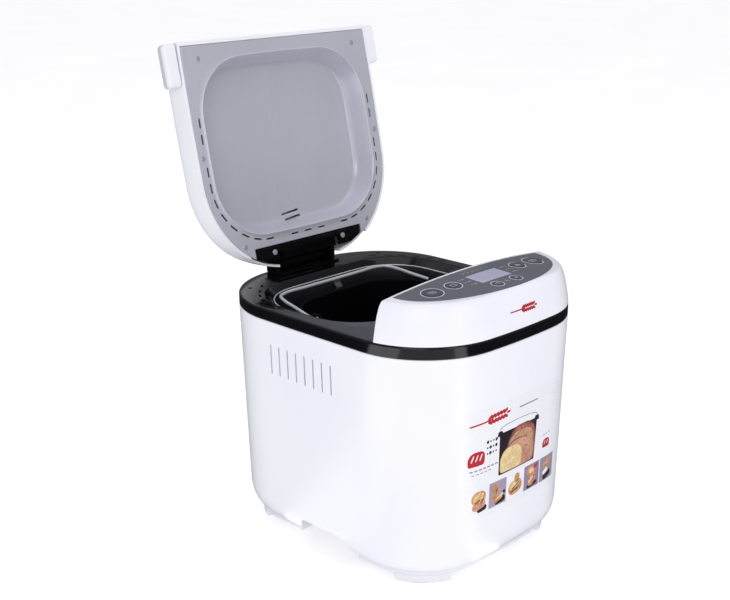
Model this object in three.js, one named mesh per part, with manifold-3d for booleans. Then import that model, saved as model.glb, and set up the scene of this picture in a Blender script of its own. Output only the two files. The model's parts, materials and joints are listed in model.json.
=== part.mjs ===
// Bread machine with a hinged lid, a front control housing, a lift-out bread pan and a belt drive.
// Millimetres, +Z up, +Y towards the back. The lid stands open, leaning back on its hinge.
import * as THREE from "three";
import { mergeVertices } from "three/addons/utils/BufferGeometryUtils.js";
import Module from "manifold-3d";

const wasm = await Module();
wasm.setup();

// ---------------------------------------------------------------- driving dimensions

const FRAME_SHIFT_Y = -32.1; // puts the origin under the middle of the open machine's box
const GAP = 0.3; // clearance between neighbouring pieces

// Plan outline of the housing at its black band.
const BODY = {
  halfWidth: 133,
  front: -162.3,
  rear: 162.3,
  sideBow: 1.9,
  frontBow: 11.6,
  rearBow: 5.2,
  frontRadius: 88.4,
  rearRadius: 94,
};
const BODY_TOP = 241.6;
const BODY_BOTTOM = 17;
const BODY_WALL = 2.5;
const BODY_TAPER = 0.0295; // inward lean of the walls for each millimetre below the band
const DECK_TOP = 254.1;

const VENT = { count: 8, pitch: 12.4, rearmost: 55, low: 186, high: 217.5, width: 1.8 };
const GRIP_RECESS = { middle: -8, halfFloor: 42, halfRoof: 30, roof: 32, depth: 26 };

const GLAND = { x: 36, z: 46 };
const TRAY = { inset: 18, floor: 10, thickness: 3, rim: 24, wall: 2.5 };
const FOOT = { width: 16, bottom: 1.5, fromX: 63, fromY: 90, padRadius: 6.5, padHeight: 1.2 };

const WELL_Y = 32.75; // middle of the oven chamber and of the pan
const CHAMBER = { halfWidth: 104.5, halfDepth: 80.3, radius: 54, top: 246.8, floor: 70, wall: 1.2 };
const DECK_LIP = { halfWidth: 115, halfDepth: 86, radius: 60 };
const ELEMENT = { z: 90, halfWidth: 92, front: -34, rear: 101, radius: 3.2, gapHalf: 14 };
const SENSOR = { y: WELL_Y, z: 122, radius: 3 };
const SEAT = { inner: 39, outer: 44, low: CHAMBER.floor + CHAMBER.wall + GAP, high: 82 };

const PAN = { halfWidth: 82, halfDepth: 55, radius: 44, rim: 239.4, floor: 94, wall: 1.3, taper: 8 };
const PAN_FOOT = { inner: 31, outer: 38.4, low: 74.5 };
const PAN_LUG = { x: 87.6, z: 239.4 };
const BAIL = { radius: 2, armX: 92, cornerX: 84, reach: 68.9, rise: 8.6, corner: 17 };

const MOTOR_Y = -105;
const PULLEY = { drive: 35, motor: 7, low: 34, high: 46, flange: 2.5, lip: 4 };
const SHAFT_RADIUS = 4;
const BRIDGE = { low: 54, high: 57, footZ: TRAY.floor + TRAY.thickness + GAP };
const MOTOR = { radius: 31, low: BRIDGE.high + GAP, high: 126, shaft: 3 };

// The control housing and the closed lid are cut from one dome over the deck.
const DOME = { height: 44.5, crown: 6.2, crownHalf: 114, frontFall: 0.05, wall: 2.4 };
const HOUSING_REAR = -88.7;
const PANEL = { halfWidth: 108, rear: -90.6, depth: 64.9, thickness: 2.2, sink: 0.2 };
const BOARD_Z = DECK_TOP + 27;
const DISPLAY = { width: 45.6, depth: 23.8, y: -117 };
const BUTTONS = [
  { name: "button_start", x: 76, y: -112, radius: 9.6 },
  { name: "button_menu", x: -76, y: -112, radius: 9.6 },
  { name: "button_time_up", x: 48.5, y: -114, radius: 7.4 },
  { name: "button_crust", x: -48.5, y: -114, radius: 7.4 },
  { name: "button_time_down", x: 14, y: -139.5, radius: 5.2 },
  { name: "button_weight", x: -14, y: -139.5, radius: 5.2 },
];

const HINGE = { y: 150.5, z: 271.7, open: 102.1, pin: 2.2, barrel: 6.2, earInner: 38.9, earOuter: 44 };
const LEAF = { halfWidth: 78, front: 135.3, rear: 152, low: 256.6, thickness: 3, screwX: 51, screwY: 143 };
const LID = {
  halfWidth: 134.4,
  front: -166,
  rear: 162.3,
  sideBow: 3.5,
  frontBow: 11.6,
  rearBow: 4.7,
  frontRadius: 88.4,
  rearRadius: 105.4,
};
const LID_FRONT = -88;
const LID_BOTTOM = 254.6;
const LINER = { inset: 3, front: -86.1, z: 255.1, sheet: 1 };
const DISH = { halfWidth: 116, front: -68.7, rear: 121.3, radius: 61, depth: 22, slope: 9 };
const LID_GRIP = { front: -87.6, rear: -44.2, outer: 149, low: 255.4, high: 284 };

const FINISH = {
  white: new THREE.MeshStandardMaterial({ color: 0xf1f1f6, roughness: 0.22, metalness: 0 }),
  black: new THREE.MeshStandardMaterial({ color: 0x121216, roughness: 0.2, metalness: 0 }),
  grey: new THREE.MeshStandardMaterial({ color: 0x5c5e68, roughness: 0.4, metalness: 0 }),
  key: new THREE.MeshStandardMaterial({ color: 0x686a74, roughness: 0.45, metalness: 0 }),
  silver: new THREE.MeshStandardMaterial({ color: 0xa9abb8, roughness: 0.42, metalness: 0.75 }),
  steel: new THREE.MeshStandardMaterial({ color: 0xc4c6cc, roughness: 0.25, metalness: 1 }),
  coating: new THREE.MeshStandardMaterial({ color: 0x24252a, roughness: 0.5, metalness: 0.2 }),
  rubber: new THREE.MeshStandardMaterial({ color: 0x1a1a1c, roughness: 0.85, metalness: 0 }),
  board: new THREE.MeshStandardMaterial({ color: 0x2f6b45, roughness: 0.6, metalness: 0 }),
  glass: new THREE.MeshStandardMaterial({ color: 0xb9bbcf, roughness: 0.15, metalness: 0 }),
  ceramic: new THREE.MeshStandardMaterial({ color: 0xe6e2d8, roughness: 0.6, metalness: 0 }),
};

// ---------------------------------------------------------------- solids and booleans

function toSolid(geometry) {
  const bare = geometry.index ? geometry.toNonIndexed() : geometry.clone();
  bare.deleteAttribute("normal");
  bare.deleteAttribute("uv");
  const merged = mergeVertices(bare, 1e-4);
  const mesh = new wasm.Mesh({
    numProp: 3,
    vertProperties: merged.attributes.position.array,
    triVerts: new Uint32Array(merged.index.array),
  });
  return new wasm.Manifold(mesh);
}

function toGeometry(solid) {
  const mesh = solid.getMesh();
  const geometry = new THREE.BufferGeometry();
  geometry.setAttribute("position", new THREE.BufferAttribute(mesh.vertProperties, 3));
  geometry.setIndex(new THREE.BufferAttribute(mesh.triVerts, 1));
  return geometry;
}

const join = (...shapes) => toGeometry(shapes.map(toSolid).reduce((a, b) => a.add(b)));
const cut = (base, ...tools) =>
  toGeometry(tools.map(toSolid).reduce((a, b) => a.subtract(b), toSolid(base)));
const common = (a, b) => toGeometry(toSolid(a).intersect(toSolid(b)));

// A box from its lowest to its highest corner.
function block(low, high) {
  const size = high.map((v, i) => v - low[i]);
  const middle = high.map((v, i) => (v + low[i]) / 2);
  return new THREE.BoxGeometry(...size).translate(...middle);
}

// An upright cylinder from z = low to z = high.
function rod(radius, low, high, x = 0, y = 0, sides = 16) {
  const shape = new THREE.CylinderGeometry(radius, radius, high - low, sides);
  return shape.rotateX(Math.PI / 2).translate(x, y, (low + high) / 2);
}

// A solid of revolution about +Z from [radius, z] points, which close on the axis or on themselves.
function turned(profile, x = 0, y = 0, sides = 16) {
  const points = profile.map(([radius, z]) => new THREE.Vector2(radius, z));
  return new THREE.LatheGeometry(points, sides).rotateX(Math.PI / 2).translate(x, y, 0);
}

// A ring of rectangular section about +Z.
function washer(inner, outer, low, high, x = 0, y = 0, sides = 24) {
  const profile = [
    [inner, low],
    [outer, low],
    [outer, high],
    [inner, high],
    [inner, low],
  ];
  return turned(profile, x, y, sides);
}

// A flat outline in the plane across an axis, extruded along that axis.
function prism(points, depth) {
  const shape = new THREE.Shape(points.map(([u, v]) => new THREE.Vector2(u, v)));
  return new THREE.ExtrudeGeometry(shape, { depth, bevelEnabled: false, curveSegments: 1 });
}

// A profile of [y, z] points, extruded across the machine from x = low to x = high.
function crossPrism(points, low, high) {
  const turn = new THREE.Matrix4().makeBasis(
    new THREE.Vector3(0, 1, 0),
    new THREE.Vector3(0, 0, 1),
    new THREE.Vector3(1, 0, 0),
  );
  return prism(points, high - low).applyMatrix4(turn).translate(low, 0, 0);
}

// ---------------------------------------------------------------- plan outlines and lofts

const CORNER_STEPS = 6;
const SIDE_STEPS = 2;

function arcPoints(centre, radius, from, to, steps) {
  const points = [];
  for (let i = 0; i < steps; i++) {
    const angle = from + ((to - from) * i) / steps;
    points.push([centre[0] + radius * Math.cos(angle), centre[1] + radius * Math.sin(angle)]);
  }
  return points;
}

// The centre of a fillet circle inside two larger circles, on the side given by its y sign.
function filletCentre(c1, r1, c2, r2, ySign) {
  const dx = c2[0] - c1[0];
  const dy = c2[1] - c1[1];
  const distance = Math.hypot(dx, dy);
  const along = (r1 * r1 - r2 * r2 + distance * distance) / (2 * distance);
  const across = Math.sqrt(Math.max(r1 * r1 - along * along, 0));
  const [ux, uy] = [dx / distance, dy / distance];
  const candidates = [1, -1].map((side) => [
    c1[0] + ux * along - side * uy * across,
    c1[1] + uy * along + side * ux * across,
  ]);
  const score = ([x, y]) => x + ySign * y;
  return candidates.sort((a, b) => score(b) - score(a))[0];
}

// A rectangle whose sides bow outwards as arcs, with filleted corners, anticlockwise from the
// middle of its front. A positive inset moves every arc inwards about its own centre.
function bowedOutline(o, inset = 0) {
  const arcRadius = (bow, half) => (half * half + bow * bow) / (2 * bow);
  const halfDepth = (o.rear - o.front) / 2;
  const frontR = arcRadius(o.frontBow, o.halfWidth);
  const rearR = arcRadius(o.rearBow, o.halfWidth);
  const sideR = arcRadius(o.sideBow, halfDepth);
  const frontC = [0, o.front + frontR];
  const rearC = [0, o.rear - rearR];
  const sideC = [o.halfWidth - sideR, (o.front + o.rear) / 2];
  const c1 = filletCentre(frontC, frontR - o.frontRadius, sideC, sideR - o.frontRadius, -1);
  const c2 = filletCentre(sideC, sideR - o.rearRadius, rearC, rearR - o.rearRadius, 1);
  const bearing = (from, to) => Math.atan2(to[1] - from[1], to[0] - from[0]);
  const a1 = bearing(frontC, c1);
  const a2 = bearing(sideC, c1);
  const a3 = bearing(sideC, c2);
  const a4 = bearing(rearC, c2);
  const half = [
    ...arcPoints(frontC, frontR - inset, -Math.PI / 2, a1, SIDE_STEPS),
    ...arcPoints(c1, o.frontRadius - inset, a1, a2, CORNER_STEPS),
    ...arcPoints(sideC, sideR - inset, a2, a3, SIDE_STEPS),
    ...arcPoints(c2, o.rearRadius - inset, a3, a4, CORNER_STEPS),
    ...arcPoints(rearC, rearR - inset, a4, Math.PI / 2, SIDE_STEPS),
  ];
  const last = [0, o.rear - inset];
  const mirrored = half.slice(1).reverse();
  return [...half, last, ...mirrored.map(([x, y]) => [-x, y])];
}

// An evenly rounded rectangle about (0, WELL_Y), with slightly bowed sides.
function wellOutline({ halfWidth, halfDepth, radius }, inset = 0) {
  const shape = {
    halfWidth,
    front: WELL_Y - halfDepth,
    rear: WELL_Y + halfDepth,
    sideBow: 1.5,
    frontBow: 2.5,
    rearBow: 2.5,
    frontRadius: radius,
    rearRadius: radius,
  };
  return bowedOutline(shape, inset);
}

// An outline lifted to a height, which is a number or a function of x and y.
const ring = (outline, z) =>
  outline.map(([x, y]) => [x, y, typeof z === "function" ? z(x, y) : z]);

// A skin through rings of equal point counts. With loop the last ring joins the first; otherwise
// each end is closed by a fan about its middle.
function loft(rings, { loop = false, middles = [] } = {}) {
  const count = rings[0].length;
  const points = rings.flat();
  const faces = [];
  const at = (r, i) => (r % rings.length) * count + (i % count);
  for (let r = 0; r < (loop ? rings.length : rings.length - 1); r++) {
    for (let i = 0; i < count; i++) {
      const [a, b, c, d] = [at(r, i), at(r, i + 1), at(r + 1, i + 1), at(r + 1, i)];
      faces.push(a, b, c, a, c, d);
    }
  }
  if (!loop) {
    const mean = (r) => [0, 1, 2].map((k) => r.reduce((sum, p) => sum + p[k], 0) / count);
    const [low, high] = [rings[0], rings.at(-1)].map((r, i) => middles[i] ?? mean(r));
    points.push(low, high);
    for (let i = 0; i < count; i++) {
      faces.push(points.length - 2, at(0, i + 1), at(0, i));
      faces.push(points.length - 1, at(rings.length - 1, i), at(rings.length - 1, i + 1));
    }
  }
  const geometry = new THREE.BufferGeometry();
  geometry.setAttribute("position", new THREE.Float32BufferAttribute(points.flat(), 3));
  return geometry.setIndex(faces);
}

// A round wire along a smooth path.
function wire(points, radius, steps, sides = 8) {
  const path = new THREE.CatmullRomCurve3(
    points.map((p) => new THREE.Vector3(...p)),
    false,
    "centripetal",
  );
  const section = new THREE.Shape();
  section.absarc(0, 0, radius, 0, 2 * Math.PI);
  const options = { steps, extrudePath: path, bevelEnabled: false, curveSegments: sides };
  return new THREE.ExtrudeGeometry(section, options);
}

// ---------------------------------------------------------------- assembly

const machine = new THREE.Group();
const bench = new THREE.Group();
bench.position.y = FRAME_SHIFT_Y;
machine.add(bench);

function place(name, geometry, finish, parent = bench) {
  const mesh = new THREE.Mesh(geometry, FINISH[finish]);
  mesh.name = name;
  parent.add(mesh);
  return mesh;
}

const SIDES = [
  { tag: "left", sign: -1 },
  { tag: "right", sign: 1 },
];
const CORNERS = SIDES.flatMap(({ tag, sign }) => [
  { tag: `front_${tag}`, x: sign, y: -1 },
  { tag: `rear_${tag}`, x: sign, y: 1 },
]);

// ---------------------------------------------------------------- housing

// Inward lean of the outer wall at a height, with the curl that rounds its foot.
function wallInset(z) {
  const curlTop = 43;
  const curlDepth = 8.5;
  const curl = Math.max(0, (curlTop - z) / (curlTop - BODY_BOTTOM));
  return BODY_TAPER * (BODY_TOP - z) + curlDepth * curl ** 2.6;
}

function bodyShell() {
  const heights = [BODY_BOTTOM, 20, 24.5, 31, 43, 140, BODY_TOP];
  const outer = heights.map((z) => ring(bowedOutline(BODY, wallInset(z)), z));
  const inner = heights.map((z) => ring(bowedOutline(BODY, wallInset(z) + BODY_WALL), z)).reverse();
  const vents = [];
  for (let i = 0; i < VENT.count; i++) {
    const y = VENT.rearmost - i * VENT.pitch;
    vents.push(block([-150, y - VENT.width / 2, VENT.low], [150, y + VENT.width / 2, VENT.high]));
  }
  const { middle, halfFloor, halfRoof, roof } = GRIP_RECESS;
  const recess = crossPrism(
    [
      [middle - halfFloor, 5],
      [middle + halfFloor, 5],
      [middle + halfRoof, roof],
      [middle - halfRoof, roof],
    ],
    -150,
    150,
  );
  const glandHole = rod(9.5, 0, 60, GLAND.x, 0).rotateX(-Math.PI / 2).translate(0, 120, GLAND.z);
  return cut(loft([...outer, ...inner], { loop: true }), ...vents, recess, glandHole);
}

// A flush grommet where the mains lead enters through the back wall.
function cordGland() {
  const wall = BODY.rear - wallInset(GLAND.z);
  const profile = [
    [4, -9],
    [9.1, -9],
    [9.1, 0.3],
    [12, 0.3],
    [12, 2],
    [10.8, 2.8],
    [5.5, 2.8],
    [4, 1],
    [4, -9],
  ];
  return turned(profile).rotateX(-Math.PI / 2).translate(GLAND.x, wall, GLAND.z);
}

function baseTray() {
  const outline = (inset) => bowedOutline(BODY, TRAY.inset + inset);
  const top = TRAY.floor + TRAY.thickness;
  const tray = loft([
    ring(outline(0.4), TRAY.floor),
    ring(outline(0), TRAY.floor + 0.6),
    ring(outline(2), TRAY.rim),
    ring(outline(2 + TRAY.wall), TRAY.rim),
    ring(outline(TRAY.wall), top),
  ]);
  const footBand = loft(
    [
      ring(outline(0.6), FOOT.bottom),
      ring(outline(0), TRAY.floor + 1),
      ring(outline(FOOT.width), TRAY.floor + 1),
      ring(outline(FOOT.width - 0.6), FOOT.bottom),
    ],
    { loop: true },
  );
  const corners = CORNERS.map(({ x, y }) => {
    const [x1, x2] = [x * FOOT.fromX, x * 150].sort((a, b) => a - b);
    const [y1, y2] = [y * FOOT.fromY, y * 180].sort((a, b) => a - b);
    return toSolid(block([x1, y1, 0], [x2, y2, 40]));
  });
  const feet = toSolid(footBand).intersect(corners.reduce((a, b) => a.add(b)));
  const { middle, halfFloor, roof, depth } = GRIP_RECESS;
  const pocket = (grow) =>
    SIDES.map(({ sign }) => {
      const [x1, x2] = [sign * (120 - depth - grow), sign * (grow ? 121.4 : 140)].sort((a, b) => a - b);
      const low = [x1, middle - halfFloor - grow, grow ? TRAY.floor : -5];
      return toSolid(block(low, [x2, middle + halfFloor + grow, roof + 2 + grow]));
    });
  const heights = [0, BODY_BOTTOM, 20, 24.5, 31, 43];
  const clearance = BODY_WALL + GAP;
  const inside = heights.map((z) =>
    ring(bowedOutline(BODY, wallInset(Math.max(z, BODY_BOTTOM)) + clearance), z),
  );
  const walls = pocket(2).reduce((a, b) => a.add(b), toSolid(tray).add(feet));
  const whole = pocket(0).reduce((a, b) => a.subtract(b), walls);
  return toGeometry(whole.intersect(toSolid(loft(inside))));
}

place("body_shell", bodyShell(), "white");
place("base_tray", baseTray(), "white");
place("cord_gland", cordGland(), "black");
for (const { tag, x, y } of CORNERS) {
  const pad = rod(FOOT.padRadius, 0, FOOT.padHeight, x * 89, y * (y < 0 ? 111 : 107));
  place(`rubber_foot_${tag}`, pad, "rubber");
}

function deckBezel() {
  const lip = (z, grow = 0) => ring(wellOutline(DECK_LIP, -grow), z);
  const edge = (z, grow) => ring(wellOutline(CHAMBER, -grow), z);
  const chamberOuter = CHAMBER.wall + GAP;
  return loft(
    [
      ring(bowedOutline(BODY, 0), BODY_TOP + 0.4),
      ring(bowedOutline(BODY, 0), DECK_TOP - 2),
      ring(bowedOutline(BODY, 0.6), DECK_TOP - 0.6),
      ring(bowedOutline(BODY, 2), DECK_TOP),
      lip(DECK_TOP),
      edge(CHAMBER.top - 0.4, chamberOuter),
      edge(CHAMBER.top - 2.8, chamberOuter + 0.3),
      lip(DECK_TOP - 2.5, 2),
      ring(bowedOutline(BODY, 4.5), DECK_TOP - 2.5),
      ring(bowedOutline(BODY, 2.5), BODY_TOP + 0.4),
    ],
    { loop: true },
  );
}
place("deck_bezel", deckBezel(), "black");

// ---------------------------------------------------------------- oven chamber

function ovenChamber() {
  const wall = (inset, z) => ring(wellOutline(CHAMBER, inset), z);
  const { floor, top, wall: t } = CHAMBER;
  const tub = loft([
    wall(14 - t, floor),
    wall(4 - t, floor + 3),
    wall(-t, floor + 14),
    wall(-t, top),
    wall(0, top),
    wall(0, floor + 14.4),
    wall(4, floor + 3 + t),
    wall(14, floor + t),
  ]);
  const terminals = [-1, 1].map((side) =>
    rod(5.3, -80, -30, side * ELEMENT.gapHalf, 0).rotateX(Math.PI / 2).translate(0, -110, ELEMENT.z),
  );
  const sensorHole = rod(SENSOR.radius + 0.4, -125, -90).rotateY(Math.PI / 2);
  sensorHole.translate(0, SENSOR.y, SENSOR.z);
  return cut(tub, rod(9, floor - 5, floor + 10, 0, WELL_Y), ...terminals, sensorHole);
}
place("oven_chamber", ovenChamber(), "silver");

// One bent tube round the foot of the pan, with both ends out through the front wall.
function heatingElement() {
  const { z, halfWidth, front, rear, gapHalf } = ELEMENT;
  const outside = WELL_Y - CHAMBER.halfDepth - 20;
  const bend = 26;
  const half = [
    [gapHalf, outside, z],
    [gapHalf, outside + 10, z],
    [gapHalf, outside + 18, z],
    [gapHalf, outside + 24, z],
    [gapHalf + 6, front - 1, z],
    [gapHalf + 17, front, z],
    [halfWidth - bend, front, z],
    [halfWidth - bend * 0.28, front + bend * 0.28, z],
    [halfWidth, front + bend, z],
    [halfWidth, (front + rear) / 2, z],
    [halfWidth, rear - bend, z],
    [halfWidth - bend * 0.28, rear - bend * 0.28, z],
    [halfWidth - bend, rear, z],
  ];
  const other = half.map(([x, y, h]) => [-x, y, h]).reverse();
  return wire([...half, [0, rear, z], ...other], ELEMENT.radius, 60, 4);
}
place("heating_element", heatingElement(), "steel");
for (const { tag, sign } of SIDES) {
  const top = ELEMENT.z - ELEMENT.radius - GAP;
  const post = block(
    [sign * ELEMENT.halfWidth - 3, WELL_Y - 4, CHAMBER.floor + 6.9],
    [sign * ELEMENT.halfWidth + 3, WELL_Y + 4, top],
  );
  place(`element_support_${tag}`, post, "steel");
  const bush = [
    [3.6, -2.2],
    [7.5, -2.2],
    [7.5, -0.4],
    [4.9, -0.4],
    [4.9, 4],
    [3.6, 4],
    [3.6, -2.2],
  ];
  const frontWall = WELL_Y - CHAMBER.halfDepth - CHAMBER.wall;
  const bushing = turned(bush).rotateX(-Math.PI / 2);
  bushing.translate(sign * ELEMENT.gapHalf, frontWall, ELEMENT.z);
  place(`element_bushing_${tag}`, bushing, "ceramic");
}

// A capsule that reaches in through the left wall and feels the pan's heat.
function temperatureSensor() {
  const profile = [
    [0, -110.6],
    [5.5, -110.6],
    [5.5, -106.3],
    [SENSOR.radius, -106.3],
    [SENSOR.radius, -93],
    [1.6, -91.2],
    [0, -91.2],
  ];
  return turned(profile).rotateY(Math.PI / 2).translate(0, SENSOR.y, SENSOR.z);
}
place("temperature_sensor", temperatureSensor(), "steel");

// A leaf spring on the back wall that holds the pan steady.
function panRetainingSpring() {
  const wall = WELL_Y + CHAMBER.halfDepth - GAP;
  const points = [
    [wall, 243],
    [wall - 1.2, 243],
    [wall - 1.2, 239],
    [wall - 5.4, 235],
    [wall - 5.4, 233],
    [wall - 1.2, 229],
    [wall, 229],
    [wall, 230.4],
    [wall - 4.2, 234],
    [wall, 238.4],
  ];
  return crossPrism(points.reverse(), 12, 21);
}
place("pan_retaining_spring", panRetainingSpring(), "steel");

place("pan_seat_ring", washer(SEAT.inner, SEAT.outer, SEAT.low, SEAT.high, 0, WELL_Y, 32), "silver");

// ---------------------------------------------------------------- belt drive

// A pressed-steel bridge: a flat top with a hole, two legs and two turned-out feet.
function bridge(halfWidth, halfDepth, y, hole) {
  const { low, high, footZ } = BRIDGE;
  const top = block([-halfWidth, y - halfDepth, low], [halfWidth, y + halfDepth, high]);
  const legs = SIDES.flatMap(({ sign }) => {
    const leg = [sign * halfWidth, sign * (halfWidth - 2.5)].sort((a, b) => a - b);
    const foot = [sign * (halfWidth - 2.5), sign * (halfWidth + 12)].sort((a, b) => a - b);
    return [
      block([leg[0], y - halfDepth, footZ], [leg[1], y + halfDepth, low + 1]),
      block([foot[0], y - halfDepth, footZ], [foot[1], y + halfDepth, footZ + 2.5]),
    ];
  });
  return cut(join(top, ...legs), rod(hole, low - 5, high + 5, 0, y));
}
place("drive_bridge", bridge(54, 26, WELL_Y, 8.8), "steel");
place("motor_bridge", bridge(46, 28, MOTOR_Y, 11), "steel");

const bearingProfile = [
  [SHAFT_RADIUS + GAP, 47.5],
  [12, 47.5],
  [12, BRIDGE.low - GAP],
  [8.5, BRIDGE.low - GAP],
  [8.5, 69],
  [SHAFT_RADIUS + GAP, 69],
  [SHAFT_RADIUS + GAP, 47.5],
];
place("drive_bearing", turned(bearingProfile, 0, WELL_Y), "steel");
place("drive_shaft", rod(SHAFT_RADIUS, 29, 77, 0, WELL_Y), "steel");

function pulley(radius, bore, y) {
  const { low, high, flange, lip } = PULLEY;
  const profile = [
    [bore, low],
    [radius + lip, low],
    [radius + lip, low + flange],
    [radius, low + flange],
    [radius, high - flange],
    [radius + lip, high - flange],
    [radius + lip, high],
    [bore, high],
    [bore, low],
  ];
  return turned(profile, 0, y, radius > 20 ? 32 : 16);
}
place("drive_pulley", pulley(PULLEY.drive, SHAFT_RADIUS + GAP, WELL_Y), "black");
place("drive_circlip", washer(SHAFT_RADIUS + GAP, 6.8, 31.5, 32.7, 0, WELL_Y), "steel");

// The outline of a belt round both pulleys, anticlockwise.
function beltOutline(thickness) {
  const big = PULLEY.drive + GAP + thickness;
  const small = PULLEY.motor + GAP + thickness;
  const lean = Math.asin((big - small) / (WELL_Y - MOTOR_Y));
  return [
    ...arcPoints([0, WELL_Y], big, -lean, Math.PI + lean, 24),
    [-big * Math.cos(lean), WELL_Y - big * Math.sin(lean)],
    ...arcPoints([0, MOTOR_Y], small, Math.PI + lean, 2 * Math.PI - lean, 12),
    [small * Math.cos(lean), MOTOR_Y - small * Math.sin(lean)],
  ];
}

const beltLow = PULLEY.low + PULLEY.flange + GAP;
const beltHigh = PULLEY.high - PULLEY.flange - GAP;
const beltRings = [
  ring(beltOutline(2.6), beltLow),
  ring(beltOutline(2.6), beltHigh),
  ring(beltOutline(0), beltHigh),
  ring(beltOutline(0), beltLow),
];
place("drive_belt", loft(beltRings, { loop: true }), "rubber");

function motorCan() {
  const { radius, low, high, shaft } = MOTOR;
  const profile = [
    [shaft + GAP, low],
    [radius - 6, low],
    [radius - 6, low + 6],
    [radius, low + 8],
    [radius, high - 8],
    [radius - 6, high - 6],
    [radius - 6, high - 2],
    [10, high - 2],
    [10, high + 4],
    [shaft + GAP, high + 4],
    [shaft + GAP, low],
  ];
  return turned(profile, 0, MOTOR_Y, 24);
}
place("drive_motor", motorCan(), "steel");
place("motor_shaft", rod(MOTOR.shaft, 31, MOTOR.high + 10, 0, MOTOR_Y), "steel");
place("motor_pulley", pulley(PULLEY.motor, MOTOR.shaft + GAP, MOTOR_Y), "black");
place("motor_capacitor", rod(15, 18, 68, 82, -92, 24), "black");

// A dog plate on the drive shaft: two upright dogs, which a bar under the pan drops between.
function driveCoupling() {
  const plate = washer(SHAFT_RADIUS + GAP, 13, 72.4, 76, 0, WELL_Y);
  const dogs = SIDES.map(({ sign }) =>
    block([sign * 9.5 - 2.5, WELL_Y - 4, 75], [sign * 9.5 + 2.5, WELL_Y + 4, 86]),
  );
  return join(plate, ...dogs);
}
place("drive_coupling", driveCoupling(), "steel");

// ---------------------------------------------------------------- electrics

place("power_board", block([-100, -118, 40], [-98.4, -66, 112]), "board");
place("power_transformer", block([-98, -108, 48], [-76, -80, 74]), "black");
place("control_board", block([-86, -129, BOARD_Z], [86, -98, BOARD_Z + 1.6]), "board");
place(
  "display_module",
  block([-27, DISPLAY.y - 14, BOARD_Z + 2], [27, DISPLAY.y + 14, BOARD_Z + 9]),
  "black",
);

// ---------------------------------------------------------------- front control housing

// Height of the dome's crown above a point of the plan.
function crownZ(x, y) {
  const arch = DOME.crown * (x / DOME.crownHalf) ** 2;
  const fall = DOME.frontFall * Math.max(0, HOUSING_REAR - y);
  return DECK_TOP + DOME.height - arch - fall;
}

// The dome over an outline, from its foot up: `lean` is the inward lean at the shoulder, `ease`
// shrinks it towards the front middle, `inset` and `drop` give the inner skin.
function dome(outline, { foot, lean, ease = 1, inset = 0, drop = 0 }) {
  const steps = [
    [0, 0],
    [0.55, 0.3],
    [0.72, 0.42],
    [0.86, 0.62],
    [0.955, 0.8],
    [1, 1.08],
  ];
  const base = bowedOutline(outline, inset);
  const skins = steps.map(([height, share]) => {
    const leant = bowedOutline(outline, inset + lean * share);
    return base.map(([x, y], i) => {
      const keep = y > HOUSING_REAR ? 1 : ease + (1 - ease) * Math.min(1, Math.abs(x) / 110) ** 2;
      const px = x + (leant[i][0] - x) * keep;
      const py = y + (leant[i][1] - y) * keep;
      return [px, py, foot + (crownZ(px, py) - drop - foot) * height];
    });
  });
  const top = skins.at(-1);
  const inwards = [0.62, 0.28].map((scale) =>
    top.map(([x, y]) => [x * scale, y * scale, crownZ(x * scale, y * scale) - drop]),
  );
  const middle = [0, 0, crownZ(0, 0) - drop];
  return loft([...skins, ...inwards], { middles: [[0, 0, foot], middle] });
}

const HOUSING_FOOT = DECK_TOP + GAP;
const housingDome = (inset, drop, foot = HOUSING_FOOT) =>
  dome(BODY, { foot, lean: 12.5, ease: 0.56, inset, drop });

// Half an ellipse, straight along the back and curved along the front.
function panelOutline(grow) {
  const steps = 16;
  const points = [];
  for (let i = 0; i <= steps; i++) {
    const angle = Math.PI * (1 + i / steps);
    const x = (PANEL.halfWidth + grow) * Math.cos(angle);
    const y = PANEL.rear + grow + (PANEL.depth + 2 * grow) * Math.sin(angle);
    points.push([x, y]);
  }
  return points;
}
const panelPrism = (grow) => prism(panelOutline(grow), 60).translate(0, 0, DECK_TOP + 20);

function displayHole(grow) {
  const [w, d] = [DISPLAY.width / 2 + grow, DISPLAY.depth / 2 + grow];
  return block([-w, DISPLAY.y - d, BOARD_Z + 9.3], [w, DISPLAY.y + d, 330]);
}

function controlHousing() {
  const keep = block([-200, -200, 200], [200, HOUSING_REAR, 360]);
  const hollow = block([-200, -200, 200], [200, HOUSING_REAR - DOME.wall, 360]);
  const inner = common(housingDome(DOME.wall, DOME.wall, HOUSING_FOOT - 5), hollow);
  return cut(common(housingDome(0, 0), keep), inner, panelPrism(0));
}

function controlPanel() {
  const skin = cut(housingDome(1, PANEL.sink), housingDome(-3, PANEL.sink + PANEL.thickness, 240));
  const holes = BUTTONS.map(({ x, y, radius }) => rod(radius + GAP, 260, 340, x, y));
  return cut(common(skin, panelPrism(-GAP - 0.2)), displayHole(0), ...holes);
}

place("control_housing", controlHousing(), "white");
place("control_panel", controlPanel(), "grey");
const windowTop = crownZ(0, DISPLAY.y) - 0.5;
const [windowW, windowD] = [DISPLAY.width / 2 - GAP, DISPLAY.depth / 2 - GAP];
place(
  "display_window",
  block([-windowW, DISPLAY.y - windowD, windowTop - 1.5], [windowW, DISPLAY.y + windowD, windowTop]),
  "glass",
);
for (const { name, x, y, radius } of BUTTONS) {
  const top = crownZ(x, y) + 0.5;
  place(name, rod(radius, top - 6, top, x, y), "key");
}

// ---------------------------------------------------------------- bread pan

const pan = new THREE.Group();
pan.position.y = WELL_Y;
bench.add(pan);

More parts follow.
